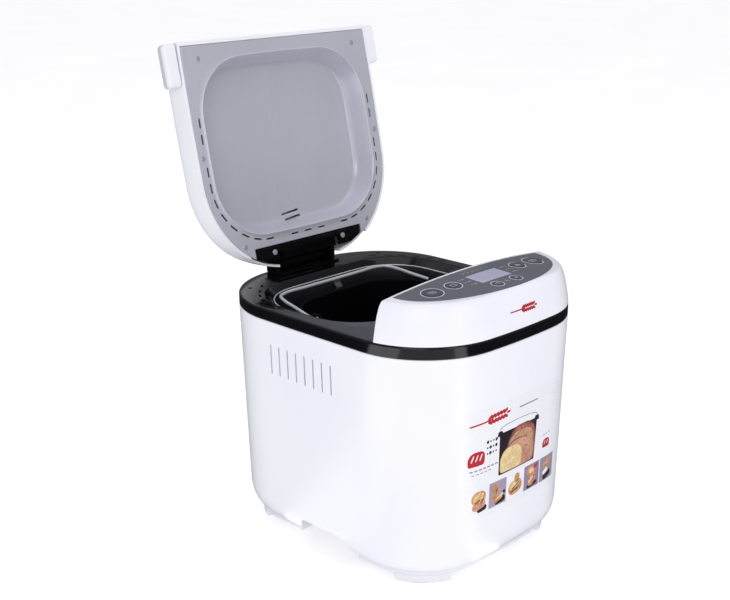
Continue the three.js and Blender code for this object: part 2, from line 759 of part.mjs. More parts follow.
function breadPan() {
  const wall = (inset, z) => ring(wellOutline(PAN, inset), z).map(([x, y, h]) => [x, y - WELL_Y, h]);
  const { rim, floor, wall: t, taper } = PAN;
  const tub = loft([
    wall(taper + 13 - t, floor),
    wall(taper + 3 - t, floor + 3),
    wall(taper - t, floor + 12),
    wall(-t, rim - 4),
    wall(-3.2, rim - 4),
    wall(-4, rim - 2),
    wall(-3.2, rim),
    wall(-0.8, rim),
    wall(0, rim - 1.2),
    wall(taper, floor + 12.4),
    wall(taper + 3, floor + 3 + t),
    wall(taper + 13, floor + t),
  ]);
  return cut(tub, rod(8.8, floor - 5, floor + 10));
}
place("bread_pan", breadPan(), "coating", pan);

place("pan_base_ring", washer(PAN_FOOT.inner, PAN_FOOT.outer, PAN_FOOT.low, PAN.floor - GAP), "silver", pan);

const bushProfile = [
  [SHAFT_RADIUS + GAP, 87.5],
  [15, 87.5],
  [15, PAN.floor - GAP],
  [8.5, PAN.floor - GAP],
  [8.5, PAN.floor + 4],
  [SHAFT_RADIUS + GAP, PAN.floor + 4],
  [SHAFT_RADIUS + GAP, 87.5],
];
place("pan_bush", turned(bushProfile), "steel", pan);
place("pan_shaft", cut(rod(SHAFT_RADIUS, 81.6, 116), block([2.8, -9, 98.2], [9, 9, 130])), "steel", pan);

function panCoupling() {
  const bar = block([-2.6, -13, 79.2], [2.6, 13, 84.6]);
  const collar = rod(6.2, 79.2, 87);
  return cut(join(bar, collar), rod(SHAFT_RADIUS + GAP, 81.3, 90));
}
place("pan_coupling", panCoupling(), "steel", pan);

// A hub with a D-shaped bore and one swept blade that nearly scrapes the pan's floor.
function kneadingPaddle() {
  const hub = turned([
    [0, 98.6],
    [9, 98.6],
    [7.6, 118],
    [5, 120.5],
    [0, 120.5],
  ]);
  const blade = prism(
    [
      [2, -3],
      [34, -2],
      [36, 0.5],
      [34, 3],
      [2, 4],
    ],
    17,
  ).translate(0, 0, 98.6);
  const fin = crossPrism(
    [
      [-2.2, 110],
      [2.6, 110],
      [1.4, 133],
      [-1, 133],
    ],
    12,
    33,
  );
  const bore = common(rod(SHAFT_RADIUS + GAP, 90, 116.4), block([-9, -9, 90], [3.1, 9, 117]));
  return cut(join(hub, blade, fin), bore);
}
place("kneading_paddle", kneadingPaddle(), "coating", pan);

for (const { tag, sign } of SIDES) {
  const ear = crossPrism(
    [
      [-9, 216],
      [9, 216],
      [9, 232],
      [5.5, 244],
      [-5.5, 244],
      [-9, 232],
    ],
    0,
    1.6,
  );
  ear.translate(sign > 0 ? PAN_LUG.x - 0.8 : -PAN_LUG.x - 0.8, 0, 0);
  const hole = rod(BAIL.radius + 0.9, -120, 120, 0, 0, 12).rotateY(Math.PI / 2).translate(0, 0, PAN_LUG.z);
  place(`bail_lug_${tag}`, cut(ear, hole), "steel", pan);
}

// A bent wire: an inward hook at each lug, two flared arms and a straight run behind the pan.
function bailHandle() {
  const { armX, cornerX, reach, rise, corner, radius } = BAIL;
  const at = (x, share) => [x, reach * share, PAN_LUG.z + rise * share];
  const armShare = 1 - corner / reach;
  const half = [
    [PAN_LUG.x - 1.2, 0, PAN_LUG.z],
    [armX - 2.6, 0, PAN_LUG.z],
    at(armX - 0.4, 0.035),
    at(armX - 0.4, 0.12),
    at((armX + cornerX) / 2, 0.45),
    at(cornerX + 1, armShare),
    at(cornerX - corner * 0.26, 1 - (corner * 0.26) / reach),
    at(cornerX - corner, 1),
    at(40, 1),
  ];
  const other = half.map(([x, y, z]) => [-x, y, z]).reverse();
  return wire([...half, at(0, 1), ...other], radius, 64, 4);
}
place("bail_handle", bailHandle(), "steel", pan);

// ---------------------------------------------------------------- lid

const lid = new THREE.Group();
lid.position.set(0, HINGE.y, HINGE.z);
lid.rotation.x = THREE.MathUtils.degToRad(-HINGE.open);
bench.add(lid);

// Lid pieces are drawn closed on the deck and moved so that the hinge axis is their own origin.
const placeOnLid = (name, geometry, finish) =>
  place(name, geometry.translate(0, -HINGE.y, -HINGE.z), finish, lid);

const lidDome = (inset, drop, foot = LID_BOTTOM) => dome(LID, { foot, lean: 8, inset, drop });
const hingeNotch = block([-45.5, 138, 250], [45.5, 170, 286.5]);
// Keeps the rear edge off the deck while the lid swings.
const sweepRelief = block([-86, 140, 250], [86, 170, 259.3]);

function lidShell() {
  const keep = block([-200, LID_FRONT, 200], [200, 200, 360]);
  const hollow = block([-200, LID_FRONT + 1.8, 200], [200, 200, 360]);
  const inner = common(lidDome(LINER.inset - 1, DOME.wall, LID_BOTTOM - 5), hollow);
  return cut(common(lidDome(0, 0), keep), inner, hingeNotch, sweepRelief);
}

function lidLiner() {
  const { z, sheet, front } = LINER;
  const sheetRings = [
    ring(bowedOutline(LID, LINER.inset), z),
    ring(bowedOutline(LID, LINER.inset), z + sheet),
  ];
  const keep = block([-200, front, 200], [200, 200, 360]);
  const plate = common(loft(sheetRings), keep);
  const dishShape = {
    halfWidth: DISH.halfWidth,
    front: DISH.front,
    rear: DISH.rear,
    sideBow: 3,
    frontBow: 3,
    rearBow: 3,
    frontRadius: DISH.radius,
    rearRadius: DISH.radius,
  };
  const dish = (grow, lift) =>
    loft([
      ring(bowedOutline(dishShape, -grow), z - (lift ? 0 : 1)),
      ring(bowedOutline(dishShape, 1 - grow), z + 1.5),
      ring(bowedOutline(dishShape, DISH.slope - 2 - grow), z + DISH.depth - 3 + lift),
      ring(bowedOutline(dishShape, DISH.slope + 2 - grow), z + DISH.depth + lift),
    ]);
  const louvres = [-1, 1].map((side) =>
    block([6 + side * 4 - 12, 96 + side * 3, z + 15], [6 + side * 4 + 12, 98 + side * 3, z + 30]),
  );
  const leafSpace = block([-79, 134.6, 250], [79, 170, 262]);
  return cut(join(plate, dish(sheet, sheet)), dish(0, 0), ...louvres, leafSpace);
}

// A flared block moulded on each side wall, to lift the lid by.
function lidGrip(sign) {
  const { front, rear, outer, low, high } = LID_GRIP;
  const wall = LID.halfWidth + GAP;
  const section = [
    [wall, low],
    [outer, low],
    [outer, low + 5],
    [wall + 3, high],
    [wall - 0.9, high],
    [wall - 0.6, low + 14],
  ];
  const points = section.map(([x, z]) => [sign * x, z]);
  const grip = prism(sign > 0 ? points : points.reverse(), rear - front);
  grip.rotateX(Math.PI / 2).translate(0, rear, 0);
  return cut(grip, lidDome(-GAP, -GAP));
}

placeOnLid("lid_shell", lidShell(), "white");
placeOnLid("lid_liner", lidLiner(), "silver");
for (const { tag, sign } of SIDES) placeOnLid(`lid_grip_${tag}`, lidGrip(sign), "white");

// The moving hinge leaf: a plate in the liner's plane, a web and a barrel round the pin.
function hingeLeaf() {
  const { halfWidth, front, rear, low, thickness, screwX, screwY } = LEAF;
  const width = HINGE.earInner - GAP;
  const plate = block([-halfWidth, front, low], [halfWidth, rear, low + thickness]);
  const web = block([-width, HINGE.y - 5, low + 1], [width, HINGE.y + 1.5, HINGE.z]);
  const barrel = rod(HINGE.barrel, -width, width, 0, 0).rotateY(Math.PI / 2);
  barrel.translate(0, HINGE.y, HINGE.z);
  const bore = rod(HINGE.pin + GAP, -60, 60).rotateY(Math.PI / 2);
  bore.translate(0, HINGE.y, HINGE.z);
  const holes = [-1, 1].map((side) => rod(2.4, 240, 280, side * screwX, screwY, 12));
  const earSlots = SIDES.map(({ sign }) => {
    const [x1, x2] = [sign * width, sign * (HINGE.earOuter + 0.5)].sort((a, b) => a - b);
    return block([x1, HINGE.y - 7.6, 240], [x2, rear + 1, 290]);
  });
  const body = cut(join(plate, web, barrel), bore, ...holes, ...earSlots);
  return common(body, loft([
    ring(bowedOutline(LID, LINER.inset + GAP), 240),
    ring(bowedOutline(LID, LINER.inset + GAP), 290),
  ]));
}
placeOnLid("hinge_leaf", hingeLeaf(), "black");
for (const { tag, sign } of SIDES) {
  const screw = turned(
    [
      [0, LEAF.low - 1.9],
      [3, LEAF.low - 1.4],
      [4, LEAF.low - GAP],
      [2.1, LEAF.low - GAP],
      [2.1, LEAF.low + 9],
      [0, LEAF.low + 10],
    ],
    sign * LEAF.screwX,
    LEAF.screwY,
    12,
  );
  placeOnLid(`hinge_screw_${tag}`, screw, "steel");
}

// The fixed hinge base on the deck: a low plinth, a back bar and two ears round the pin.
function hingeBase() {
  const foot = DECK_TOP + GAP;
  const plinth = block([-HINGE.earOuter, 136, foot], [HINGE.earOuter, 150, foot + 1.8]);
  const saddle = block([-HINGE.earOuter, 143.5, foot], [HINGE.earOuter, 160.6, foot + 1.8]);
  const bar = block([-HINGE.earOuter, 157.6, foot], [HINGE.earOuter, 160.6, 266]);
  const ears = SIDES.flatMap(({ sign }) => {
    const [x1, x2] = [sign * HINGE.earInner, sign * HINGE.earOuter].sort((a, b) => a - b);
    const top = rod(7, x1, x2).rotateY(Math.PI / 2).translate(0, HINGE.y, HINGE.z);
    return [block([x1, HINGE.y - 7, foot], [x2, HINGE.y + 9, HINGE.z]), top];
  });
  const bore = rod(HINGE.pin + GAP, -60, 60).rotateY(Math.PI / 2);
  return cut(join(plinth, saddle, bar, ...ears), bore.translate(0, HINGE.y, HINGE.z));
}
place("hinge_base", hingeBase(), "black");
const pin = rod(HINGE.pin, -HINGE.earOuter - 0.6, HINGE.earOuter + 0.6).rotateY(Math.PI / 2);
place("hinge_pin", pin.translate(0, HINGE.y, HINGE.z), "steel");

export default machine;
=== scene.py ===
"""A bread machine with its lid open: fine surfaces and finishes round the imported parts.

Shapes are drawn in millimetres on the part's own bench, with the lid's pieces drawn shut, and are
carried into the row frame in metres when their mesh is made.
"""

from __future__ import annotations

import json
import logging
import math
from dataclasses import dataclass, field
from enum import Enum
from functools import cache
from typing import Any, Callable, Optional, Sequence, Union

import bmesh
import bpy
import numpy as np
from mathutils import Matrix, Vector

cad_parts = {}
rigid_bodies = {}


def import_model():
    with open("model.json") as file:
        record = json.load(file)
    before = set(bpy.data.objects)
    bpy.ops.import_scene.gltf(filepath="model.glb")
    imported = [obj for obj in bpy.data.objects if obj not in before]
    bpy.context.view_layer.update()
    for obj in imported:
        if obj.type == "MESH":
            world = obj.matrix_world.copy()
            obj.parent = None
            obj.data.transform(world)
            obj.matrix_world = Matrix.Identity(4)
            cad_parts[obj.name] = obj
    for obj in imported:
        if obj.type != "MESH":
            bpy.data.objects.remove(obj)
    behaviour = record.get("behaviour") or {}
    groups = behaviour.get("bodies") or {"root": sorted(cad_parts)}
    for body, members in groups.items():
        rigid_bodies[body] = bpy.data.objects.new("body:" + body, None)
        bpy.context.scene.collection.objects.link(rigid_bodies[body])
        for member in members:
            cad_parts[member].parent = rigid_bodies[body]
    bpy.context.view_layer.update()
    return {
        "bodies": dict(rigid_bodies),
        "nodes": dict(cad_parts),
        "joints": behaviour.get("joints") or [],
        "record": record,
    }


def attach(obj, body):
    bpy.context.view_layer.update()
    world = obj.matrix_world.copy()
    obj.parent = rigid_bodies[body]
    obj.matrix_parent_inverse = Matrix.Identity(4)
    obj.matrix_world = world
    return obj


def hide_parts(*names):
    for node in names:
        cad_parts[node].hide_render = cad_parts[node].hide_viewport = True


Array = np.ndarray
Colour = tuple[float, float, float]
Point = tuple[float, float]
Piece = bpy.types.Object
Node = bpy.types.Node
Link = bpy.types.NodeSocket

LOG = logging.getLogger("bread_machine")

MM = 0.001
FAR = 200.0  # past every wall, for the boxes that cut or keep
BENCH_SHIFT_Y = -32.1  # from the drawing bench to the row frame
SHARP_DEG = 34.0  # faces that meet at more than this are shaded with a crease


# ---------- plan outlines and heights


def unit_bearing(start: Array, end: Array) -> float:
    """The angle of the line from start to end."""
    return math.atan2(end[1] - start[1], end[0] - start[0])


def fillet_centre(c1: Array, r1: float, c2: Array, r2: float, y_sign: int) -> Array:
    """Where circles r1 about c1 and r2 about c2 cross, on the side that x + y_sign * y favours.

    Args:
        c1: Centre of the first circle.
        r1: Its radius.
        c2: Centre of the second circle.
        r2: Its radius.
        y_sign: 1 for the crossing at the back, -1 for the one at the front.

    Returns:
        The crossing point.
    """
    across = c2 - c1
    distance = float(np.hypot(*across))
    along = (r1 * r1 - r2 * r2 + distance * distance) / (2 * distance)
    height = math.sqrt(max(r1 * r1 - along * along, 0.0))
    unit = across / distance
    normal = np.array([-unit[1], unit[0]])
    crossings = [c1 + unit * along + side * normal * height for side in (1, -1)]
    return max(crossings, key=lambda p: p[0] + y_sign * p[1])


@dataclass(frozen=True)
class Plan:
    """A rectangle seen from above whose sides bow outwards as arcs, with filleted corners."""

    half_width: float
    front: float
    rear: float
    side_bow: float
    front_bow: float
    rear_bow: float
    front_radius: float
    rear_radius: float
    corner_steps: int = 26
    side_steps: int = 12

    def arcs(self) -> list[tuple[Array, float, float, float]]:
        """The right half's arcs from front to back: centre, radius, first and last angle.

        Returns:
            Five arcs.
        """
        half_depth = (self.rear - self.front) / 2
        radii = [
            (half * half + bow * bow) / (2 * bow)
            for bow, half in (
                (self.front_bow, self.half_width),
                (self.side_bow, half_depth),
                (self.rear_bow, self.half_width),
            )
        ]
        front_c = np.array([0.0, self.front + radii[0]])
        side_c = np.array([self.half_width - radii[1], (self.front + self.rear) / 2])
        rear_c = np.array([0.0, self.rear - radii[2]])
        r1, r2 = self.front_radius, self.rear_radius
        c1 = fillet_centre(front_c, radii[0] - r1, side_c, radii[1] - r1, -1)
        c2 = fillet_centre(side_c, radii[1] - r2, rear_c, radii[2] - r2, 1)
        a1, a2 = unit_bearing(front_c, c1), unit_bearing(side_c, c1)
        a3, a4 = unit_bearing(side_c, c2), unit_bearing(rear_c, c2)
        return [
            (front_c, radii[0], -math.pi / 2, a1),
            (c1, r1, a1, a2),
            (side_c, radii[1], a2, a3),
            (c2, r2, a3, a4),
            (rear_c, radii[2], a4, math.pi / 2),
        ]

    def outline(self, inset: float = 0.0) -> Array:
        """Points anticlockwise from the middle of the front; each arc's radius shrinks by inset.

        Args:
            inset: How far every arc moves in towards its own centre.

        Returns:
            An array of shape (points, 2).
        """
        counts = (self.side_steps, self.corner_steps) * 2 + (self.side_steps,)
        runs = []
        for (centre, radius, start, end), count in zip(self.arcs(), counts):
            angle = np.linspace(start, end, count, endpoint=False)
            spoke = np.stack([np.cos(angle), np.sin(angle)], axis=1)
            runs.append(centre + (radius - inset) * spoke)
        right = np.concatenate([*runs, [[0.0, self.rear - inset]]])
        left = right[1:-1][::-1] * np.array([-1.0, 1.0])
        return np.concatenate([right, left])

    def level(self, inset: float, z: float) -> Array:
        """The outline moved in by inset, at one height."""
        outline = self.outline(inset)
        return np.column_stack([outline, np.full(len(outline), float(z))])

    def front_y(self, x: Array, inset: Array) -> Array:
        """Depth of the front wall: the front arc, and past its end the corner arc.

        Args:
            x: Where across.
            inset: How far the outline moves in.

        Returns:
            Depths.
        """
        front, corner = self.arcs()[:2]
        size = np.abs(x)
        edge = (front[1] - inset) * math.cos(front[3])
        flat = front[0][1] - np.sqrt(np.maximum((front[1] - inset) ** 2 - size**2, 0))
        reach = np.maximum((corner[1] - inset) ** 2 - (size - corner[0][0]) ** 2, 0)
        return np.where(size < edge, flat, corner[0][1] - np.sqrt(reach))

    def polar(self, middle: tuple[float, float], angle: Array, inset: float = 0.0) -> Array:
        """Distance from a middle point to the outline along each angle.

        Args:
            middle: Where to measure from.
            angle: Angles in radians.
            inset: How far the outline moves in.

        Returns:
            Distances.
        """
        spoke = self.outline(inset) - np.array(middle)
        bearing = np.arctan2(spoke[:, 1], spoke[:, 0])
        order = np.argsort(bearing)
        radius = np.hypot(spoke[:, 0], spoke[:, 1])[order]
        return np.interp(angle, bearing[order], radius, period=2 * math.pi)


BODY = Plan(133, -162.3, 162.3, 1.9, 11.6, 5.2, 88.4, 94)
LID_PLAN = Plan(134.4, -166, 162.3, 3.5, 11.6, 4.7, 88.4, 105.4)
DISH_PLAN = Plan(116, -68.7, 121.3, 3, 3, 3, 61, 61)
WELL_Y = 32.75
MIDDLE = (0.0, WELL_Y, 0.0)  # of the oven, on the bench


def well_plan(half_width: float, half_depth: float, radius: float) -> Plan:
    """The evenly rounded plan of the oven and of the pan, about the well's middle."""
    front, rear = WELL_Y - half_depth, WELL_Y + half_depth
    return Plan(half_width, front, rear, 1.5, 2.5, 2.5, radius, radius)


CHAMBER_PLAN = well_plan(104.5, 80.3, 54)
DECK_LIP_PLAN = well_plan(115, 86, 60)
PAN_PLAN = well_plan(82, 55, 44)

BODY_TOP = 241.6
BODY_BOTTOM = 17.0
BODY_TAPER = 0.0295
DECK_TOP = 254.1
HOUSING_REAR = -88.7
CROWN_HEIGHT = 44.5
CROWN_ARCH = 6.2
CROWN_HALF = 114.0
CROWN_FRONT_FALL = 0.05
HINGE_Y, HINGE_Z, HINGE_OPEN_DEG = 150.5, 271.7, 102.1
FOOT_CURL_TOP = 43.0
FOOT_CURL_DEPTH = 8.5


def wall_inset(z: Union[float, Array]) -> Array:
    """Inward lean of the housing wall: a straight taper, plus a power curve that curls its foot."""
    curl = np.maximum(0.0, (FOOT_CURL_TOP - np.asarray(z)) / (FOOT_CURL_TOP - BODY_BOTTOM))
    return BODY_TAPER * (BODY_TOP - np.asarray(z)) + FOOT_CURL_DEPTH * curl**2.6


def crown_z(x: Array, y: Array) -> Array:
    """Height of the dome's crown: a parabola across, falling evenly in front of the housing's back.

    Args:
        x: Where across.
        y: Where from front to back.

    Returns:
        Heights.
    """
    arch = CROWN_ARCH * (np.asarray(x) / CROWN_HALF) ** 2
    fall = CROWN_FRONT_FALL * np.maximum(0.0, HOUSING_REAR - np.asarray(y))
    return DECK_TOP + CROWN_HEIGHT - arch - fall


# ---------- meshes


class Place(Enum):
    """Where a shape is drawn: on the bench as it stands, or on the lid while the lid is shut."""

    BENCH = "bench"
    LID = "lid"


def to_row(points: Array, place: Place) -> Array:
    """Carries drawn millimetres into the row frame in metres.

    A point of the lid turns about the hinge line by the opening angle; both kinds then move by the
    bench's shift.

    Args:
        points: An array of shape (n, 3) in millimetres.
        place: Which bench the points are drawn on.

    Returns:
        An array of shape (n, 3) in metres.
    """
    moved = np.array(points, dtype=float)
    if place is Place.LID:
        turn = -math.radians(HINGE_OPEN_DEG)
        y, z = moved[:, 1] - HINGE_Y, moved[:, 2] - HINGE_Z
        moved[:, 1] = HINGE_Y + y * math.cos(turn) - z * math.sin(turn)
        moved[:, 2] = HINGE_Z + y * math.sin(turn) + z * math.cos(turn)
    moved[:, 1] += BENCH_SHIFT_Y
    return moved * MM


@dataclass
class Skin:
    """Points and faces gathered for one mesh."""

    points: list[Array] = field(default_factory=list)
    faces: list[list[int]] = field(default_factory=list)
    count: int = 0

    def add_points(self, points: Array) -> int:
        """Keeps points and returns the number of the first one.

        Args:
            points: The points.

        Returns:
            The number of the first point.
        """
        first = self.count
        self.points.append(np.asarray(points, dtype=float).reshape(-1, 3))
        self.count += len(self.points[-1])
        return first

    def loft(
        self,
        rings: Array,
        loop: bool = False,
        low: Optional[Array] = None,
        high: Optional[Array] = None,
        open_ends: bool = False,
    ) -> "Skin":
        """A skin over rings of equal point counts, each closed on itself.

        Args:
            rings: An array of shape (rings, points, 3).
            loop: Whether the last ring joins the first.
            low: The pole that closes the first ring; its mean when left out.
            high: The pole that closes the last ring; its mean when left out.
            open_ends: Whether both ends stay open.

        Returns:
            This skin.
        """
        rings = np.asarray(rings, dtype=float)
        rows, columns = rings.shape[:2]
        first = self.add_points(rings)
        row, column = np.meshgrid(np.arange(rows if loop else rows - 1), np.arange(columns), indexing="ij")
        after, beside = (row + 1) % rows, (column + 1) % columns
        corners = [
            row * columns + column,
            row * columns + beside,
            after * columns + beside,
            after * columns + column,
        ]
        self.faces += (first + np.stack(corners, axis=-1).reshape(-1, 4)).tolist()
        if not loop and not open_ends:
            ends = [low if low is not None else rings[0].mean(axis=0)]
            ends += [high if high is not None else rings[-1].mean(axis=0)]
            pole = self.add_points(np.stack(ends))
            here = np.arange(columns)
            there = (here + 1) % columns
            bottom = np.stack([np.full(columns, pole), first + there, first + here], axis=1)
            last = first + (rows - 1) * columns
            top = np.stack([np.full(columns, pole + 1), last + here, last + there], axis=1)
            self.faces += bottom.tolist() + top.tolist()
        return self

    def sheet(self, grid: Array) -> "Skin":
        """An open sheet over a grid of shape (rows, columns, 3).

        Args:
            grid: The points.

        Returns:
            This skin.
        """
        grid = np.asarray(grid, dtype=float)
        rows, columns = grid.shape[:2]
        first = self.add_points(grid)
        row, column = np.meshgrid(np.arange(rows - 1), np.arange(columns - 1), indexing="ij")
        base = row * columns + column
        corners = np.stack([base, base + 1, base + columns + 1, base + columns], axis=-1)
        self.faces += (first + corners.reshape(-1, 4)).tolist()
        return self

    def prism(self, outline: Array, axis: int, low: float, high: float) -> "Skin":
        """A flat outline carried along an axis, with one flat face at each end.

        Args:
            outline: Points of shape (n, 2) in the other two axes, in their X, Y, Z order.
            axis: 0, 1 or 2 for X, Y or Z.
            low: Where it starts along the axis.
            high: Where it ends.

        Returns:
            This skin.
        """
        ends = [np.insert(outline, axis, value, axis=1) for value in (low, high)]
        self.loft(np.stack(ends), open_ends=True)
        count = len(outline)
        first = self.count - 2 * count
        self.faces.append(list(range(first + count - 1, first - 1, -1)))
        self.faces.append(list(range(first + count, first + 2 * count)))
        return self

    def make(self, name: str, place: Place = Place.BENCH, turn_out: bool = True) -> Piece:
        """Makes the mesh object at the origin, with its place in its mesh.

        Args:
            name: The piece's name.
            place: Which bench the points are drawn on.
            turn_out: Whether every closed surface has its faces turned outwards.

        Returns:
            The new object.
        """
        mesh = bpy.data.meshes.new(name)
        points = to_row(np.concatenate(self.points), place)
        mesh.from_pydata(points.tolist(), [], self.faces)
        if turn_out:
            turn_faces_out(mesh)
        piece = bpy.data.objects.new(name, mesh)
        bpy.context.scene.collection.objects.link(piece)
        soften(piece)
        return piece


def turn_faces_out(mesh: bpy.types.Mesh) -> None:
    """Merges a mesh's doubled points and points its faces outwards.

    Args:
        mesh: The mesh.
    """
    work = bmesh.new()
    work.from_mesh(mesh)
    bmesh.ops.remove_doubles(work, verts=work.verts, dist=1e-7)
    bmesh.ops.recalc_face_normals(work, faces=work.faces)
    work.to_mesh(mesh)
    work.free()


def soften(piece: Piece, angle_deg: float = SHARP_DEG) -> None:
    """Shades a piece smooth, with creases where faces meet at more than an angle."""
    piece.data.shade_smooth()
    piece.data.set_sharp_from_angle(angle=math.radians(angle_deg))


def rounded(points: Sequence[Point], radius: float, steps: int = 5) -> Array:
    """A closed polygon with its corners rounded by quadratic curves that start radius away.

    Args:
        points: The corners.
        radius: How far from each corner its curve starts and ends.
        steps: Spans in each curve.

    Returns:
        An array of shape (corners * (steps + 1), 2).
    """
    corner = np.asarray(points, dtype=float)
    before, after = np.roll(corner, 1, axis=0) - corner, np.roll(corner, -1, axis=0) - corner
    lengths = [np.linalg.norm(v, axis=1, keepdims=True) for v in (before, after)]
    reach = np.minimum(radius, np.minimum(lengths[0], lengths[1]) * 0.49)
    start = corner + before / lengths[0] * reach
    end = corner + after / lengths[1] * reach
    t = np.linspace(0.0, 1.0, steps + 1)[None, :, None]
    curve = (1 - t) ** 2 * start[:, None] + 2 * t * (1 - t) * corner[:, None] + t**2 * end[:, None]
    return curve.reshape(-1, 2)


def turn_matrix(turn: float) -> Array:
    """The matrix that turns rows of points by an angle."""
    c, s = math.cos(turn), math.sin(turn)
    return np.array([[c, s], [-s, c]])


def stadium(u: float, v: float, half_long: float, half_wide: float, turn: float = 0.0) -> Array:
    """A slot's outline: two half circles joined by straight sides, turned about its middle.

    Args:
        u: Its middle across.
        v: Its middle in the other direction.
        half_long: Half its length.
        half_wide: Half its width.
        turn: Its turn in radians.

    Returns:
        Its points.
    """
    angle = np.linspace(-math.pi / 2, math.pi / 2, 9)
    run = half_long - half_wide
    right = np.stack([run + half_wide * np.cos(angle), half_wide * np.sin(angle)], axis=1)
    shape = np.concatenate([right, -right])
    return shape @ turn_matrix(turn) + np.array([u, v])


def circle(u: float, v: float, radius: float, count: int = 48, stretch: float = 1.0) -> Array:
    """A circle, or with stretch an ellipse that is longer across."""
    angle = np.linspace(0.0, 2 * math.pi, count, endpoint=False)
    return np.stack([u + radius * stretch * np.cos(angle), v + radius * np.sin(angle)], axis=1)


def block_outline(low: Sequence[float], high: Sequence[float]) -> Array:
    """A rectangle's four corners, anticlockwise."""
    return np.array([[low[0], low[1]], [high[0], low[1]], [high[0], high[1]], [low[0], high[1]]])


def block_tool(low: Sequence[float], high: Sequence[float], place: Place = Place.BENCH) -> Piece:
    """A box from its lowest to its highest corner, used only to cut or keep."""
    skin = Skin().prism(block_outline(low[:2], high[:2]), 2, low[2], high[2])
    return skin.make("cutting_box", place)


def cutter(outlines: Sequence[Array], axis: int, low: float, high: float, place: Place = Place.BENCH) -> Piece:
    """Outlines carried along an axis as one tool, used only to cut or keep.

    Args:
        outlines: Their outlines.
        axis: 0, 1 or 2 for X, Y or Z.
        low: Where it starts.
        high: Where it ends.
        place: Which bench it is drawn on.

    Returns:
        The tool.
    """
    skin = Skin()
    for outline in outlines:
        skin.prism(outline, axis, low, high)
    return skin.make("cutting_prisms", place)


def smooth_path(points: Sequence[Sequence[float]], samples: int) -> Array:
    """A centripetal Catmull-Rom curve through points, evaluated span by span as Hermite curves.

    Args:
        points: The points that the curve passes through.
        samples: How many points to return, evenly spread along the parameter.

    Returns:
        An array of shape (samples, 3).
    """
    knots = np.asarray(points, dtype=float)
    gaps = np.sqrt(np.linalg.norm(np.diff(knots, axis=0), axis=1))
    time = np.concatenate([[0.0], np.cumsum(gaps)])
    slope = np.gradient(knots, time, axis=0)
    t = np.linspace(0.0, time[-1], samples)
    span = np.clip(np.searchsorted(time, t, side="right") - 1, 0, len(gaps) - 1)
    h = gaps[span][:, None]
    u = ((t - time[span]) / gaps[span])[:, None]
    value = (2 * u**3 - 3 * u**2 + 1) * knots[span] + (u**3 - 2 * u**2 + u) * h * slope[span]
    value += (-2 * u**3 + 3 * u**2) * knots[span + 1] + (u**3 - u**2) * h * slope[span + 1]
    return value


def tube(path: Array, radius: float, normal: Sequence[float], sides: int = 18) -> Skin:
    """A round wire along a flat path, with domed ends.

    Each ring is the point plus radius times (cos a * normal + sin a * side), and the ends shrink as
    a quarter circle.

    Args:
        path: Points of shape (n, 3).
        radius: The wire's radius.
        normal: The direction square to the plane that the path lies in.
        sides: Points round the wire.

    Returns:
        A skin with the wire in it.
    """
    tangent = np.gradient(path, axis=0)
    tangent /= np.linalg.norm(tangent, axis=1, keepdims=True)
    normal_unit = np.asarray(normal, dtype=float) / np.linalg.norm(normal)
    side = np.cross(tangent, normal_unit)
    side /= np.linalg.norm(side, axis=1, keepdims=True)
    cap = np.linspace(0.0, math.pi / 2, 5)[1:]
    start = path[0] - tangent[0] * radius * np.sin(cap)[::-1, None]
    end = path[-1] + tangent[-1] * radius * np.sin(cap)[:, None]
    centres = np.concatenate([start[1:], path, end[:-1]])
    sizes = np.concatenate([np.cos(cap)[::-1][1:], np.ones(len(path)), np.cos(cap)[:-1]]) * radius
    sides_all = np.concatenate([np.repeat(side[:1], 3, 0), side, np.repeat(side[-1:], 3, 0)])
    angle = np.linspace(0.0, 2 * math.pi, sides, endpoint=False)
    spokes = np.cos(angle)[None, :, None] * normal_unit + np.sin(angle)[None, :, None] * sides_all[:, None]
    rings = centres[:, None] + spokes * sizes[:, None, None]
    return Skin().loft(rings, low=start[0], high=end[-1])


def lathe(
    profile: Union[Array, Sequence[Point]],
    centre: Sequence[float] = (0.0, 0.0, 0.0),
    axis: int = 2,
    sides: int = 48,
    stretch: float = 1.0,
) -> Skin:
    """A solid of revolution: profile points (radius, height) swept round an axis.

    Args:
        profile: Points that start and end on the axis, or close on themselves.
        centre: Where the axis passes, with the profile's heights counted from it.
        axis: 0, 1 or 2 for X, Y or Z.
        sides: Points round the axis.
        stretch: Widens the first cross direction, for oval pieces.

    Returns:
        A skin with the solid in it.
    """
    line = np.asarray(profile, dtype=float)
    angle = np.linspace(0.0, 2 * math.pi, sides, endpoint=False)
    solid = line[0, 0] < 1e-9
    body = line[1:-1] if solid else line
    u = body[:, :1] * np.cos(angle) * stretch
    v = body[:, :1] * np.sin(angle)
    w = np.repeat(body[:, 1:], sides, axis=1)
    order = {0: (w, u, v), 1: (v, w, u), 2: (u, v, w)}[axis]
    rings = np.stack(order, axis=-1) + np.asarray(centre, dtype=float)
    if not solid:
        return Skin().loft(rings, loop=True)
    poles = []
    for height in (line[0, 1], line[-1, 1]):
        pole = np.array(centre, dtype=float)
        pole[axis] += height
        poles.append(pole)
    return Skin().loft(rings, low=poles[0], high=poles[1])


class Cut(Enum):
    """What a carving tool does to a piece."""

    REMOVE = "DIFFERENCE"
    KEEP = "INTERSECT"
    JOIN = "UNION"


